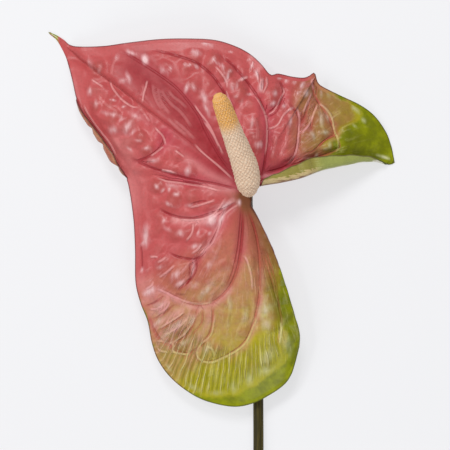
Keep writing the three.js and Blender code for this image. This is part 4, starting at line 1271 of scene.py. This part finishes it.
@dataclass
class Skin(Relief):
    """Lines and colours of the blade at the points of its grid.

    edge is the distance to the nearest margin. face is 1 on the face, 0 on its rolled margins.
    """

    edge: Array = field(default=None)
    face: Array = field(default=None)

    def masks(self) -> dict:
        """Works out what the finishes read at each point.

        Returns:
            Masks by name.
        """
        ripe, lime = self.ripeness()
        return {
            "ripe": ripe,
            "lime": lime,
            "pucker": self.pucker(),
            "swell": self.swell(),
            "pleat": self.pleats(),
            "run": self.run(),
            "out": self.from_hub(),
            "fan": self.fan() * self.face,
            "edge": self.edge,
            "lined": 0.85 * (1 - smooth_step(-self.x, 91, 95)),
            "back": np.maximum(smooth_step(self.x, 20, 44), ripe * (self.y < 0)),
            **self.line_masks(),
            **self.tint_masks(),
        }

    def run(self) -> Array:
        """Works out the length of the way round the outer edge.

        Returns:
            Millimetres from the right lobe's point.
        """
        top = self.u / TIP_SHARE * self.top_length
        left = (self.u - TIP_SHARE) / (1 - TIP_SHARE) * self.left_length
        return np.where(self.u < TIP_SHARE, top, self.top_length + left)

    def swell(self) -> Array:
        """How far the skin bulges between its ribs, from 0 to 1."""
        return np.clip(0.6 * self.pillows() + 0.6 * self.domes(), 0, 1) * self.pucker()

    def fan(self) -> Array:
        """Works out where light streaks run out from the hub, strongest on the two lobes.

        Returns:
            Their share, from 0 to 1.
        """
        right = smooth_step(self.x, 8, 24) * (1 - 0.8 * smooth_step(self.x, 44, 54))
        lobes = np.maximum(smooth_step(-self.y, 24, 44), right)
        return lobes * window(self.share, 0.15, 0.3, 0.9, 0.97)

    def nearest_of(self, lines: list, reach: float, fade: float) -> tuple[Array, Array]:
        """Finds the nearest of several lines.

        Args:
            lines: lists of points.
            reach: greatest distance looked for.
            fade: share of a line's length from which it fades out.

        Returns:
            Signed distance to the nearest line, and 1 near it on the face that fades to 0 at
            its ends and towards the reach.
        """
        side = np.full(self.x.shape, float(reach))
        near = np.zeros(self.x.shape)
        for points in lines:
            line = evenly(points, len(points) * STEPS_PER_POINT)
            own_side, place = nearest_on(line, self.x, self.y, reach)
            closer = np.abs(own_side) < np.abs(side)
            side = np.where(closer, own_side, side)
            across = 1 - smooth_step(np.abs(own_side), 0.4 * reach, 0.8 * reach)
            near = np.where(closer, window(place, 0, 0.12, fade, 1) * across, near)
        return side, near * self.face

    def nearest_highlight(self) -> tuple[Array, Array]:
        """Finds the nearest painted highlight.

        Returns:
            How far off its middle a point is, 1 at its border, and its strength on the face.
        """
        away = np.full(self.x.shape, FAR_OFF)
        strength = np.zeros(self.x.shape)
        for x, y, length, width, lean, own in PAINTED_HIGHLIGHTS:
            cosine, sine = math.cos(math.radians(lean)), math.sin(math.radians(lean))
            along = (self.x - x) * cosine + (self.y - y) * sine
            across = (self.y - y) * cosine - (self.x - x) * sine
            own_away = np.hypot(along / length, across / width)
            strength = np.where(own_away < away, own, strength)
            away = np.minimum(away, own_away)
        return away, strength * self.face

    def line_masks(self) -> dict:
        """Works out the distances to the thin lines and to the painted highlights.

        Returns:
            Masks by name.
        """
        found = {}
        for name, (lines, reach, fade) in {
            "rib": (RIBS, RIB_REACH, 0.85),
            "wrinkle": (WRINKLES, RIB_REACH, 0.85),
            "crease": (CREASES, RIB_REACH, 0.85),
            "vein": ([vein.points for vein in VEINS[1:]], VEIN_LINE_REACH, 0.9),
        }.items():
            found[name + "_side"], found[name + "_near"] = self.nearest_of(lines, reach, fade)
        found["highlight_away"], found["highlight_strength"] = self.nearest_highlight()
        return found

    def tint_masks(self) -> dict:
        """Works out where the skin is darker, pinker, paler or browner, partly as painted shade and painted
        highlight.

        Returns:
            Masks by name.
        """
        x, y, face = self.x, self.y, self.face
        valley = self.from_line(VALLEY, 20, 40)
        notch = self.from_line(LOWER_NOTCH, 30, 30)
        # Darker in the sunk veins and the smooth valley: partly the skin's own red, partly painted shade
        deep_and_shaded = 0.7 * (1 - self.panel(0.45))
        below_hub = 0.8 * bell(notch, 9) * window(-y, -2, 4, 32, 52)
        # Browner round the spadix's foot: partly the skin's own brown, partly painted shade beneath the
        # spadix
        brown = 0.75 * bell(np.hypot(x + 1, y + 3.5), 5.5) + below_hub
        right_lobe = 0.42 * window(x, 16, 27, 48, 54) * (y > 5)
        beside_notch = 0.4 * bell(notch, 11, 4) * window(-y, 10, 24, 56, 70)
        off_notch = 0.6 * bell(np.abs(notch) - 6, 5) * window(-y, 36, 50, 62, 76)
        right_end = 0.45 * window(x, 43, 48, 53, 58) * smooth_step(-y, -34, -28)
        return {
            "deep_and_shaded": np.maximum(deep_and_shaded, 0.85 * bell(valley, 10)),
            "near_vein": 1 - self.panel(1.3),
            "pale": self.pale_bands(),
            "brown": np.clip(brown, 0, 0.85) * face,
            "bronze": np.maximum(right_lobe, beside_notch) * face,
            "mossy": np.maximum(off_notch, right_end) * face,
            "hub_rim": 0.85 * bell(self.edge, 1.1, 4) * window(-y, -1, 1, 8, 18) * face,
        }

    def pale_bands(self) -> Array:
        """Works out the share of the soft pale bands, which are partly painted highlight.

        Returns:
            Their share, from 0 to 1.
        """
        share = np.zeros(self.x.shape)
        for band in PALE_BANDS:
            away = self.from_line(band.points, 24, 12)
            share = np.maximum(share, band.strength * bell(away, band.width))
        return share

    def ripeness(self) -> tuple[Array, Array]:
        """Works out the turn from rose to green.

        Returns:
            How far the rose has turned to tan and yellow, and the share of lime green.
        """
        lower, lower_lime = self.ripe_lower_lobe()
        right, right_lime = self.ripe_right_lobe()
        tip = 0.9 * smooth_step(-self.x, 94.5, 98.5)
        lime = np.maximum(np.maximum(lower_lime, right_lime), tip)
        return np.clip(np.maximum(lower, right), 0, 1), np.clip(lime, 0, 1)

    def ripe_lower_lobe(self) -> tuple[Array, Array]:
        """Works out the ripeness of the lower lobe, lime green along the notch and the margin.

        Returns:
            How far it has turned, and the share of lime green.
        """
        down = -self.y
        ripe = look_up(LOWER_RIPENESS, 0.6 * (self.x + 20) + down)
        notch = self.from_line(LOWER_NOTCH, 30, 40)
        beside = 0.5 * bell(notch, 8) * smooth_step(down, 8, 56)
        strip = look_up(LIME_STRIP, self.y)
        lime = 1 - smooth_step(np.abs(notch), strip - 1.5, strip + 1.5)
        width = look_up(LIME_WIDTH, self.u)
        border = (1 - smooth_step(self.edge, width - 2.5, width + 3)) * smooth_step(down, 45, 55)
        return ripe + beside * (1 - 0.8 * ripe), np.maximum(lime, border)

    def ripe_right_lobe(self) -> tuple[Array, Array]:
        """Works out the ripeness of the right lobe, whose end is lime green.

        Returns:
            How far it has turned, and the share of lime green.
        """
        x, y = self.x, self.y
        inward = 0.1 * (y - 20) + 7 * smooth_step(y, 45, 55)
        beyond = x - look_up(LIME_BORDER, y)
        near_lime = 0.82 * smooth_step(beyond, -16, 0) * smooth_step(x, 28, 36)
        ripe = np.maximum(look_up(RIGHT_RIPENESS, x - inward), near_lime)
        under_top = 0.6 * (1 - smooth_step(self.edge, 1, 3.5)) * smooth_step(x, 33, 40) * (y > 30)
        lime = np.maximum(smooth_step(beyond, -6, 3), under_top)
        return ripe * (y > 0), lime * (y > 0)


@dataclass
class Margin:
    """The blade's outer edge, column by column.

    edge and outward are level places and unit vectors. u is the share of the way round,
    scallops and cover are how far the roll bulges and covers the face, and bands are the
    widths of the margin band, in millimetres.
    """

    edge: Array
    outward: Array
    u: Array
    scallops: Array
    cover: Array
    bands: Array


@dataclass
class Spathe:
    """The waved blade with its sunk veins and rolled margins."""

    drawing: Drawing
    top_columns: int = 180
    left_columns: int = 235
    roll_columns: int = 22
    rows: int = 98
    band_rows: int = 11
    collar_radius: float = 3.9
    collar_height: float = 25
    thickness: float = 0.85
    margin_band: float = 2
    band_slope_share: float = 0.6
    tip_band: float = 0.25
    tip_band_reach: float = 10
    roll_radius: float = 2.5
    fall_power: float = 1.8
    pressed_height: float = 0.3
    press_softness: float = 1
    relief_height: float = 2.3
    notch_pull_reach: float = 0.07
    sharp_edge: float = 55
    piece: bpy.types.Object = field(default=None)

    def build(self) -> None:
        """Models the blade and makes it stand for its CAD node."""
        columns = self.roll_columns + self.top_columns + self.left_columns
        rows = self.rows + self.band_rows
        select_only()
        bpy.ops.mesh.primitive_grid_add(x_subdivisions=rows, y_subdivisions=columns, size=1)
        self.piece = name_piece("spathe_blade")
        flat = points_of(self.piece)
        row = np.rint((flat[:, 0] + 0.5) * rows).astype(int)
        column = np.rint((flat[:, 1] + 0.5) * columns).astype(int)
        points, masks = self.surface()
        move_points(self.piece, self.drawing.to_frame(points[row, column]))
        for name, values in masks.items():
            add_mask(self.piece, name, values[row, column])
        self.thicken()
        smooth(self.piece, self.sharp_edge)
        settle(self.piece, "spathe")

    def thicken(self) -> None:
        """Gives the blade its thickness and presses it flat where it lies."""
        self.piece.data.materials.append(SpatheFinish().make())
        self.piece.data.materials.append(UnderFinish().make())
        settings = {"thickness": self.thickness * MM, "offset": 0, "material_offset": 1}
        apply_modifier(self.piece, "SOLIDIFY", **settings)
        points = points_of(self.piece)
        points[:, 2] = np.maximum(points[:, 2], 0)
        move_points(self.piece, points)

    def surface(self) -> tuple[Array, dict]:
        """Works out the blade's middle surface.

        Returns:
            Its points as rows and columns, and the masks that the finish reads.
        """
        margin = self.margin()
        right_notch = evenly(RIGHT_NOTCH, self.rows)
        grid = self.face_grid(margin, right_notch)
        roll = np.arange(self.roll_columns, 0, -1) / self.roll_columns
        cover = look_up(NOTCH_ROLL, self.row_shares()[0])
        flap = self.notch_roll(grid, right_notch, roll[None], cover)
        points = np.concatenate([flap, grid], axis=1)
        roll = np.concatenate([roll, np.zeros(len(margin.edge))])[None]
        return points, self.masks(points, margin, roll, cover)

    def margin(self) -> Margin:
        """Lays out the outer edge: the top margin, then the left one.

        Returns:
            The edge.
        """
        top = evenly(TOP_MARGIN, self.top_columns)
        edge = np.concatenate([top, evenly(LEFT_MARGIN, self.left_columns)[1:]])
        column = np.arange(len(edge))
        past_tip = (column - self.top_columns) / self.left_columns
        u = np.where(
            column <= self.top_columns,
            TIP_SHARE * column / self.top_columns,
            TIP_SHARE + (1 - TIP_SHARE) * past_tip,
        )
        scallops = look_up(SCALLOPS, u)
        cover = look_up(LEFT_ROLL, u) + scallops
        return Margin(edge, self.outward(edge), u, scallops, cover, self.band_widths(edge))

    @staticmethod
    def outward(line: Array) -> Array:
        """Finds level vectors that point out of the blade along its edge.

        Args:
            line: the edge's points.

        Returns:
            Unit vectors as rows.
        """
        along = np.concatenate([line[1:2] - line[:1], line[2:] - line[:-2], line[-1:] - line[-2:-1]])
        along = unit(along)
        return np.stack([along[:, 1], -along[:, 0]], axis=1)

    def band_widths(self, edge: Array) -> Array:
        """Works out the width of the margin band, which is narrow by the two points.

        Args:
            edge: the edge's points.

        Returns:
            Widths in millimetres.
        """
        to_tip = np.linalg.norm(edge - edge[self.top_columns], axis=1)
        to_end = np.linalg.norm(edge - edge[-1], axis=1)
        narrow = bell(np.minimum(to_tip, to_end), self.tip_band_reach)
        return self.tip_band + (self.margin_band - self.tip_band) * (1 - narrow)

    def row_shares(self) -> tuple[Array, Array]:
        """Share of the way out and share across the margin band, for each row."""
        row = np.arange(self.rows + self.band_rows + 1)[:, None]
        return np.minimum(row, self.rows) / self.rows, np.clip((row - self.rows) / self.band_rows, 0, 1)

    def repeat_last(self, rows: Array) -> Array:
        """Repeats the outermost row of the face for the rows of the margin band."""
        return rows[np.minimum(np.arange(self.rows + self.band_rows + 1), self.rows)]

    def face_grid(self, margin: Margin, right_notch: Array) -> Array:
        """Places the grid from the collar out over the margin band.

        Args:
            margin: the outer edge.
            right_notch: the notch's upper margin.

        Returns:
            Points by row and column.
        """
        lower_notch = evenly(LOWER_NOTCH, self.rows)
        bases = margin.edge - margin.outward * margin.bands[:, None]
        bases[0] = right_notch[-1]
        bases[-1] = lower_notch[-1]
        flat = self.flat_points(bases, margin.u, right_notch, lower_notch)
        height = self.heights(flat, margin.u[None], (np.arange(self.rows + 1) / self.rows)[:, None])
        grid = self.repeat_last(np.concatenate([flat, height[..., None]], axis=2))
        _, band = self.row_shares()
        out, up = self.across_band(band, margin.cover[None], margin.bands[None])
        slope = (height[-1] - height[-5]) / np.linalg.norm(flat[-1] - flat[-5], axis=1)
        bulge = margin.scallops[None] * smooth_step(band, 0, 0.3)
        grid[..., :2] += margin.outward[None] * (out + bulge)[..., None]
        lifted = grid[..., 2] + up + self.band_slope_share * slope[None] * out
        grid[..., 2] = np.where(band > 0, np.maximum(self.pressed_height, lifted), grid[..., 2])
        return grid

    def flat_points(self, bases: Array, u: Array, right_notch: Array, lower_notch: Array) -> Array:
        """Spreads the grid between the collar and the inner side of the margin band.

        Args:
            bases: the columns' outer ends.
            u: share of the way round, for each column.
            right_notch: the notch's upper margin.
            lower_notch: the notch's lower margin.

        Returns:
            Level places by row and column.
        """
        hub = np.array(HUB_CENTRE)
        roots = hub + self.collar_radius * self.collar_ways(bases, hub)
        share = (np.arange(self.rows + 1) / self.rows)[:, None, None]
        flat = roots[None] * (1 - share) + bases[None] * share
        right_pull = bell(u, self.notch_pull_reach)[None, :, None]
        lower_pull = bell(1 - u, self.notch_pull_reach)[None, :, None]
        flat = flat + right_pull * (right_notch[:, None] - flat[:, :1])
        return flat + lower_pull * (lower_notch[:, None] - flat[:, -1:])

    def collar_ways(self, bases: Array, hub: Array) -> Array:
        """Directions from the hub at which the columns start, evenly spread on both sides.

        Args:
            bases: the outer ends of the columns.
            hub: the hub's centre.

        Returns:
            Unit vectors as rows.
        """
        ends = [0, self.top_columns, len(bases) - 1]
        toward = bases[ends] - hub
        angles = np.mod(np.arctan2(toward[:, 1], toward[:, 0]), math.tau)
        spread = np.interp(np.arange(len(bases)), ends, angles)
        return np.stack([np.cos(spread), np.sin(spread)], axis=1)

    def heights(self, flat: Array, u: Array, share: Array) -> Array:
        """Height of the middle surface inside the margin band.

        Args:
            flat: level places by row and column.
            u: share of the way round, for each column.
            share: share of the way out, for each row.

        Returns:
            Heights by row and column.
        """
        relief = Relief.over(flat[..., 0], flat[..., 1], u, share)
        rim = look_up(EDGE_HEIGHTS, u)
        macro = self.collar_height + (rim - self.collar_height) * share**self.fall_power
        inner = np.clip((share - 0.03) / 0.15, 0, 1)
        outer = 1 - 0.6 * np.clip((share - 0.75) / 0.25, 0, 1)
        coarse = self.relief_height * inner * outer * (relief.panel() - 0.6)
        free = macro + coarse + relief.heights() - self.pressed_height
        return self.pressed_height + (free + np.hypot(free, self.press_softness)) / 2

    def across_band(self, share: Array, cover: Array, band: Array) -> tuple[Array, Array]:
        """Places points across a margin band, flat or rolled up and over.

        Args:
            share: how far across the band, from 0 to 1.
            cover: how far the roll covers the face, in millimetres.
            band: width of the band.

        Returns:
            Distance outwards and height.
        """
        turn, flap = self.turn_and_flap(cover, band)
        run = share * (band * turn + flap)
        angle = np.minimum(run / band, turn)
        rest = np.maximum(0, run - band * turn)
        out = band * np.sin(angle) + rest * np.cos(turn)
        up = band * (1 - np.cos(angle)) + rest * np.sin(turn)
        flat = cover <= 0
        return np.where(flat, share * band, out), np.where(flat, 0, up)

    @staticmethod
    def turn_and_flap(cover: Array, band: Array) -> tuple[Array, Array]:
        """Angle through which a margin is rolled up and the width that lies flat beyond it."""
        bend = np.pi / 2 + np.arccos(1 - np.clip(cover / band, 0, 1))
        return np.where(cover < band, bend, np.pi), np.maximum(0, cover - band)

    def round_roll(self, share: Array, cover: Array, band: Array) -> Array:
        """Share of a half turn round a roll: 0.5 at its outside, 1 and more on its flap."""
        turn, flap = self.turn_and_flap(cover, band)
        return np.where(cover > 0, share * (band * turn + flap) / (band * np.pi), 0)

    def notch_roll(self, grid: Array, notch: Array, roll: Array, cover: Array) -> Array:
        """Rolls the notch's upper margin up and over the face.

        Args:
            grid: points of the face and its margin band.
            notch: the notch's upper margin.
            roll: share across the roll, for each of its columns.
            cover: how far the roll covers the face, for each row.

        Returns:
            Points of the roll by row and column.
        """
        out, up = self.across_band(roll, cover, np.full((1, 1), self.roll_radius))
        points = np.repeat(grid[:, :1], self.roll_columns, axis=1)
        points[..., :2] += self.repeat_last(self.outward(notch))[:, None] * out[..., None]
        points[..., 2] += up
        return points

    @staticmethod
    def edge_distance(points: Array) -> Array:
        """Distance over the surface to the nearest margin, but not to the collar.

        Args:
            points: the grid's points.

        Returns:
            Millimetres by row and column.
        """
        out_steps = np.linalg.norm(np.diff(points, axis=0), axis=2)
        round_steps = np.linalg.norm(np.diff(points, axis=1), axis=2)
        from_outside, from_first, from_last = (np.zeros(points.shape[:2]) for _ in range(3))
        from_outside[:-1] = np.cumsum(out_steps[::-1], axis=0)[::-1]
        from_first[:, 1:] = np.cumsum(round_steps, axis=1)
        from_last[:, :-1] = np.cumsum(round_steps[:, ::-1], axis=1)[:, ::-1]
        return np.minimum(from_outside, np.minimum(from_first, from_last))

    def with_roll(self, values: Array, on_roll: float) -> Array:
        """Puts one value for the notch roll's columns in front of those of the edge."""
        return np.concatenate([np.full(self.roll_columns, on_roll), values])[None]

    def masks(self, points: Array, margin: Margin, roll: Array, cover: Array) -> dict:
        """Works out what the finish reads at each point.

        Args:
            points: the grid's points.
            margin: the outer edge.
            roll: share across the rolled notch margin, for each column.
            cover: how far that roll covers the face, for each row.

        Returns:
            Masks by name.
        """
        x = points[..., 0]
        share, band = self.row_shares()
        face = (1 - smooth_step(roll + 0 * x, 0, 0.1)) * (band <= 0)
        own = {"edge": self.edge_distance(points), "face": face}
        skin = Skin.over(x, points[..., 1], self.with_roll(margin.u, 0), share, **own)
        notch_round = self.round_roll(roll, cover, self.roll_radius)
        bands = self.with_roll(margin.bands, self.margin_band)
        left_round = self.round_roll(band, self.with_roll(margin.cover, 0), bands)
        rolled = notch_round - 0.2 * smooth_step(x, 56, 66)
        return {
            **skin.masks(),
            "across": np.maximum(notch_round, left_round),
            "lumps": smooth_step(left_round, 0.1, 0.3),
            # Pale slivers along the roll's fold: partly a pale, dry edge, partly painted highlight
            "papery_highlight": smooth_step(x, 22, 30) * window(rolled, 0.36, 0.42, 0.6, 0.68),
        }


# The spadix


@dataclass(frozen=True)
class SpadixFinish:
    """Matt skin of the florets, cream below and yellow towards the tip, with painted shade in the grooves
    between them.
    """

    cream: tuple = srgb(230, 202, 174)
    # Darker colour for a random mottle and for the painted shade between the florets
    groove: tuple = srgb(204, 160, 128)
    dot: tuple = srgb(242, 226, 204)
    yellow: tuple = srgb(230, 168, 74)
    pore_height: float = 0.08

    def make(self) -> bpy.types.Material:
        """Builds the material.

        Returns:
            The material.
        """
        board = Board("spadix_skin")
        ripe = (board.mask("along") + board.shake(350.0, 0.06)).step(0.62, 0.76)
        skin = board.blend(ripe, self.cream, self.yellow)
        board.feed("Base Color", board.coat(skin, [
            (board.noise(600.0).step(0.35, 0.65) * 0.3, self.groove),
            # Painted shade in the grooves between the florets
            (board.mask("groove") * 0.36, self.groove),
            (board.mask("dot") * 0.45, self.dot),
        ]))
        board.feed("Roughness", 0.55 + board.noise(900.0) * 0.15)
        board.bump(board.noise(2500.0), self.pore_height * MM)
        return board.material


@dataclass
class Spadix:
    """The tapering body with its skin of florets."""

    drawing: Drawing
    around: int = 34
    rows: int = 52
    segments: int = 198
    rings: int = 330
    axis_steps: int = 400
    floret_height: float = 0.52
    unevenness: float = 0.16
    unevenness_length: float = 2.2
    seat_gap: float = 0.3
    sharp_edge: float = 80
    piece: bpy.types.Object = field(default=None)

    def build(self) -> None:
        """Models the spadix and makes it stand for its CAD node."""
        select_only()
        bpy.ops.mesh.primitive_uv_sphere_add(segments=self.segments, ring_count=self.rings, radius=1)
        self.piece = name_piece("spadix_florets")
        ball = points_of(self.piece)
        along = np.arccos(np.clip(-ball[:, 2], -1, 1)) / np.pi
        turn = np.arctan2(ball[:, 1], ball[:, 0])
        masks = {"along": along, **self.florets(along, turn)}
        radius = look_up(SPADIX_RADII, along)
        radius = radius + self.floret_height * masks.pop("dome") * smooth_step(radius, 0.5, 3)
        centre, side, over = self.axis(along)
        ring = side * np.cos(turn)[:, None] - over * np.sin(turn)[:, None]
        points = centre + ring * radius[:, None]
        points[:, 2] = np.maximum(points[:, 2], HUB_TOP + self.seat_gap)
        move_points(self.piece, self.drawing.to_frame(points))
        for name, values in masks.items():
            add_mask(self.piece, name, values)
        self.piece.data.materials.append(SpadixFinish().make())
        smooth(self.piece, self.sharp_edge)
        settle(self.piece, "spadix")

    def axis(self, along: Array) -> tuple[Array, Array, Array]:
        """Finds the spadix's axis and two directions square to it.

        Args:
            along: share of the way to the tip.

        Returns:
            Places on the axis, level unit vectors, and unit vectors square to both.
        """
        last = self.axis_steps
        line = evenly(SPADIX_LINE, last)
        place = np.minimum((along * last).astype(int), last - 1)
        share = (along * last - place)[:, None]
        centre = line[place] * (1 - share) + line[place + 1] * share
        way = unit(line[np.minimum(place + 2, last)] - line[np.maximum(place - 2, 0)])
        side = unit(np.stack([way[:, 1], -way[:, 0], np.zeros(len(way))], axis=1))
        return centre, side, np.cross(side, way)

    def florets(self, along: Array, turn: Array) -> dict:
        """Works out the florets' relief.

        Args:
            along: share of the way to the tip.
            turn: angle round the axis.

        Returns:
            "dome", the height of the florets, "groove", the depth between them for the painted shade,
            and "dot", the light dots on their tops, from 0 to 1.
        """
        shaken = [
            self.unevenness * ripple(30 * along, 3 * way, self.unevenness_length, seed)
            for seed, way in ((3, np.cos(turn)), (4, np.sin(turn)))
        ]
        first = self.around * turn / math.tau + shaken[0]
        second = self.rows * along + shaken[1]
        one = np.abs(np.sin(np.pi * (first + second) / 2))
        two = np.abs(np.sin(np.pi * (first - second) / 2))
        uneven = 0.5 + 0.5 * np.sin(7.3 * np.floor((first + second) / 2) + 3.1 * np.floor(second))
        dome = np.sqrt(one * two) * (0.8 + 0.2 * uneven)
        groove = 1 - smooth_step(dome, 0.1, 0.6)
        return {"dome": dome, "groove": groove, "dot": uneven * smooth_step(one * two, 0.6, 0.9)}


# The stem


@dataclass(frozen=True)
class StemFinish:
    """Olive brown skin of the stem and the paler flesh of its cut end."""

    skin: tuple = srgb(82, 70, 20)
    dark: tuple = srgb(48, 42, 12)
    flesh: tuple = srgb(170, 168, 108)
    pith: tuple = srgb(206, 202, 156)
    strand: tuple = srgb(112, 110, 56)
    streak_height: float = 0.12

    def make(self) -> bpy.types.Material:
        """Builds the material.

        Returns:
            The material.
        """
        board = Board("stem_skin")
        streak = board.streaks((1, 0.06, 1), 900.0, 3.0)
        skin = board.blend(streak.step(0.35, 0.7), self.dark, self.skin)
        flesh = board.blend(board.mask("pith") * 0.8, self.flesh, self.pith)
        flesh = board.blend(board.noise(1900.0, 1.0).step(0.56, 0.66) * 0.8, flesh, self.strand)
        board.feed("Base Color", board.blend(board.mask("flesh"), skin, flesh))
        board.feed("Roughness", 0.5 + streak * 0.15)
        board.feed("Specular IOR Level", 0.25)
        board.bump(streak, self.streak_height * MM)
        return board.material


@dataclass
class Stem:
    """The stalk, flat where it lies, with its neck and the hub at its top."""

    drawing: Drawing
    sides: int = 40
    rings_per_span: int = 12
    radius: float = 2.55
    neck_radius: float = 2.75
    neck_length: float = 40
    hub_radius: float = 3.1
    hub_length: float = 5
    cut_lean: float = 0.45
    flesh_share: float = 0.95
    pith_share: float = 0.6
    knot_height: float = 0.012
    knot_length: float = 24
    even_rings: int = 24
    sharp_edge: float = 50
    piece: bpy.types.Object = field(default=None)

    def build(self) -> None:
        """Models the stem and makes it stand for its CAD node."""
        line = catmull_rom(STEM_PATH, self.rings_per_span)
        rings = len(line) - 1
        select_only()
        bpy.ops.mesh.primitive_cylinder_add(vertices=self.sides, radius=1, depth=rings)
        self.piece = name_piece("stem_stalk")
        self.cut_into_rings(rings)
        self.inset_cut_end()
        self.bend_along(line)
        self.piece.data.materials.append(StemFinish().make())
        smooth(self.piece, self.sharp_edge)
        settle(self.piece, "stem")

    def cut_into_rings(self, rings: int) -> None:
        """Cuts the straight cylinder across once for every ring of the stem.

        Args:
            rings: number of stretches to cut it into.
        """
        select_only(self.piece)
        bpy.ops.object.mode_set(mode="EDIT")
        for ring in range(1, rings):
            bpy.ops.mesh.select_all(action="SELECT")
            bpy.ops.mesh.bisect(plane_co=(0, 0, ring - rings / 2), plane_no=(0, 0, 1))
        bpy.ops.mesh.select_all(action="DESELECT")
        bpy.ops.object.mode_set(mode="OBJECT")

    def inset_cut_end(self) -> None:
        """Insets the cut end, so that its skin, its rind, its flesh and its pith can differ."""
        for face in self.piece.data.polygons:
            face.select = face.normal.z < -0.9
        bpy.ops.object.mode_set(mode="EDIT")
        for thickness in (0.08, 0.14, 0.3):
            bpy.ops.mesh.inset(thickness=thickness)
        bpy.ops.object.mode_set(mode="OBJECT")
        self.piece.select_set(False)

    def radius_at(self, from_top: Array) -> Array:
        """Works out the stem's radius.

        Args:
            from_top: distances from the hub.

        Returns:
            The radius at each.
        """
        near = self.hub_radius + (self.neck_radius - self.hub_radius) * from_top / self.hub_length
        far_share = np.minimum(1, (from_top - self.hub_length) / self.neck_length)
        far = self.neck_radius + (self.radius - self.neck_radius) * far_share
        return np.where(from_top < self.hub_length, near, far)

    def bend_along(self, line: Array) -> None:
        """Lays the straight cylinder along the stem's path.

        Args:
            line: the path's points, one for each ring.
        """
        straight = points_of(self.piece)
        last = len(line) - 1
        ring = np.rint(straight[:, 2] + last / 2).astype(int)
        way = unit(line[np.minimum(ring + 1, last)] - line[np.maximum(ring - 1, 0)])
        side = unit(np.array([1.0, 0, 0]) - way * way[:, :1])
        over = np.cross(side, way)
        centre = line[ring]
        radius = self.radius_at(np.linalg.norm(centre - line[last], axis=1))
        from_axis = np.hypot(straight[:, 0], straight[:, 1])
        angle = np.arctan2(straight[:, 1], straight[:, 0])
        knots = 1 + self.knot_height * ripple(centre[:, 1], 6 * np.cos(angle), self.knot_length, 5)
        radius = radius * np.where(ring > last - self.even_rings, 1, knots)
        reach = (radius * from_axis)[:, None]
        points = centre + reach * (side * np.cos(angle)[:, None] + over * np.sin(angle)[:, None])
        cut, top = ring == 0, ring == last
        points[cut, 1] += self.cut_lean * points[cut, 2]
        lift = (HUB_TOP - points[top, 2]) / way[top, 2]
        points[top] += way[top] * lift[:, None]
        points[:, 2] = np.maximum(points[:, 2], 0)
        move_points(self.piece, self.drawing.to_frame(points))
        for name, share in (("flesh", self.flesh_share), ("pith", self.pith_share)):
            add_mask(self.piece, name, (cut & (from_axis < share)).astype(float))


# The studio

# Lights by name: place as seen from the flower head and side, in metres, and power in watts
LIGHTS = {
    "key": ((-0.15, 0.75, 1.0), 0.4, 7.2),
    "spark": ((-0.6, 0.42, 1.0), 0.16, 3.0),
    "fill": ((-0.9, -0.1, 0.9), 0.6, 2.5),
    "front": ((0.3, -0.9, 0.8), 0.7, 4.3),
}


@dataclass
class Studio:
    """Pale floor, soft lights and the camera straight above the flower."""

    drawing: Drawing
    distance: float = 3.0
    frame_width: float = 0.225
    sensor: float = 36.0
    clip_end: float = 100
    middle: tuple = (-13.5, -17.5)
    lit_place: tuple = (0.0, 0.0, 10.0)
    floor_size: float = 30
    floor_colour: tuple = (0.27, 0.27, 0.275, 1.0)
    glow_colour: tuple = (0.91, 0.91, 0.93, 1.0)
    glow: float = 0.68
    air_colour: tuple = (0.9, 0.92, 0.95, 1)
    air_strength: float = 0.3

    def build(self) -> None:
        """Makes the floor, the lights and the camera."""
        self.lay_floor()
        self.light_world()
        for name, (place, size, power) in LIGHTS.items():
            self.hang(name, Vector(place), size, power)
        self.place_camera()

    def lay_floor(self) -> None:
        """Lays a wide pale floor under the flower."""
        select_only()
        bpy.ops.mesh.primitive_plane_add(size=self.floor_size, location=(0, 0, 0))
        floor = name_piece("floor")
        board = Board("pale_floor")
        board.feed("Base Color", self.floor_colour)
        board.feed("Roughness", 0.9)
        board.feed("Specular IOR Level", 0.0)
        board.feed("Emission Color", self.glow_colour)
        board.feed("Emission Strength", self.glow)
        floor.data.materials.append(board.material)

    def light_world(self) -> None:
        """Gives the scene an even, soft surrounding light."""
        world = bpy.data.worlds.new("studio")
        bpy.context.scene.world = world
        world.use_nodes = True
        background = world.node_tree.nodes["Background"]
        background.inputs["Color"].default_value = self.air_colour
        background.inputs["Strength"].default_value = self.air_strength

    def hang(self, name: str, place: Vector, size: float, power: float) -> None:
        """Hangs one square area light that faces the flower head.

        Args:
            name: the light's name.
            place: where it hangs, as seen from the flower head.
            size: its side in metres.
            power: its power in watts.
        """
        select_only()
        bpy.ops.object.light_add(type="AREA", location=self.drawing.place(*self.lit_place) + place)
        light = bpy.context.object
        light.name = name
        light.data.shape = "SQUARE"
        light.data.size = size
        light.data.energy = power
        light.rotation_euler = (-place).to_track_quat("-Z", "Y").to_euler()

    def place_camera(self) -> None:
        """Looks straight down on the flower, with the long tip to the upper left."""
        x, y, _ = self.drawing.place(*self.middle, 0)
        select_only()
        bpy.ops.object.camera_add(location=(x, y, self.distance), rotation=(0, 0, 0))
        camera = bpy.context.object
        camera.data.sensor_width = self.sensor
        camera.data.lens = self.sensor * self.distance / self.frame_width
        camera.data.clip_end = self.clip_end
        bpy.context.scene.camera = camera
        bpy.context.scene.view_settings.view_transform = "Standard"


def main() -> None:
    """Builds and dresses the pieces in order, then the studio."""
    drawing = Drawing.from_frame()
    for made in (Stem(drawing), Spathe(drawing), Spadix(drawing), Studio(drawing)):
        made.build()
        log.info("built %s", type(made).__name__.lower())


if __name__ == "__main__":
    logging.basicConfig(level=logging.INFO)
    main()
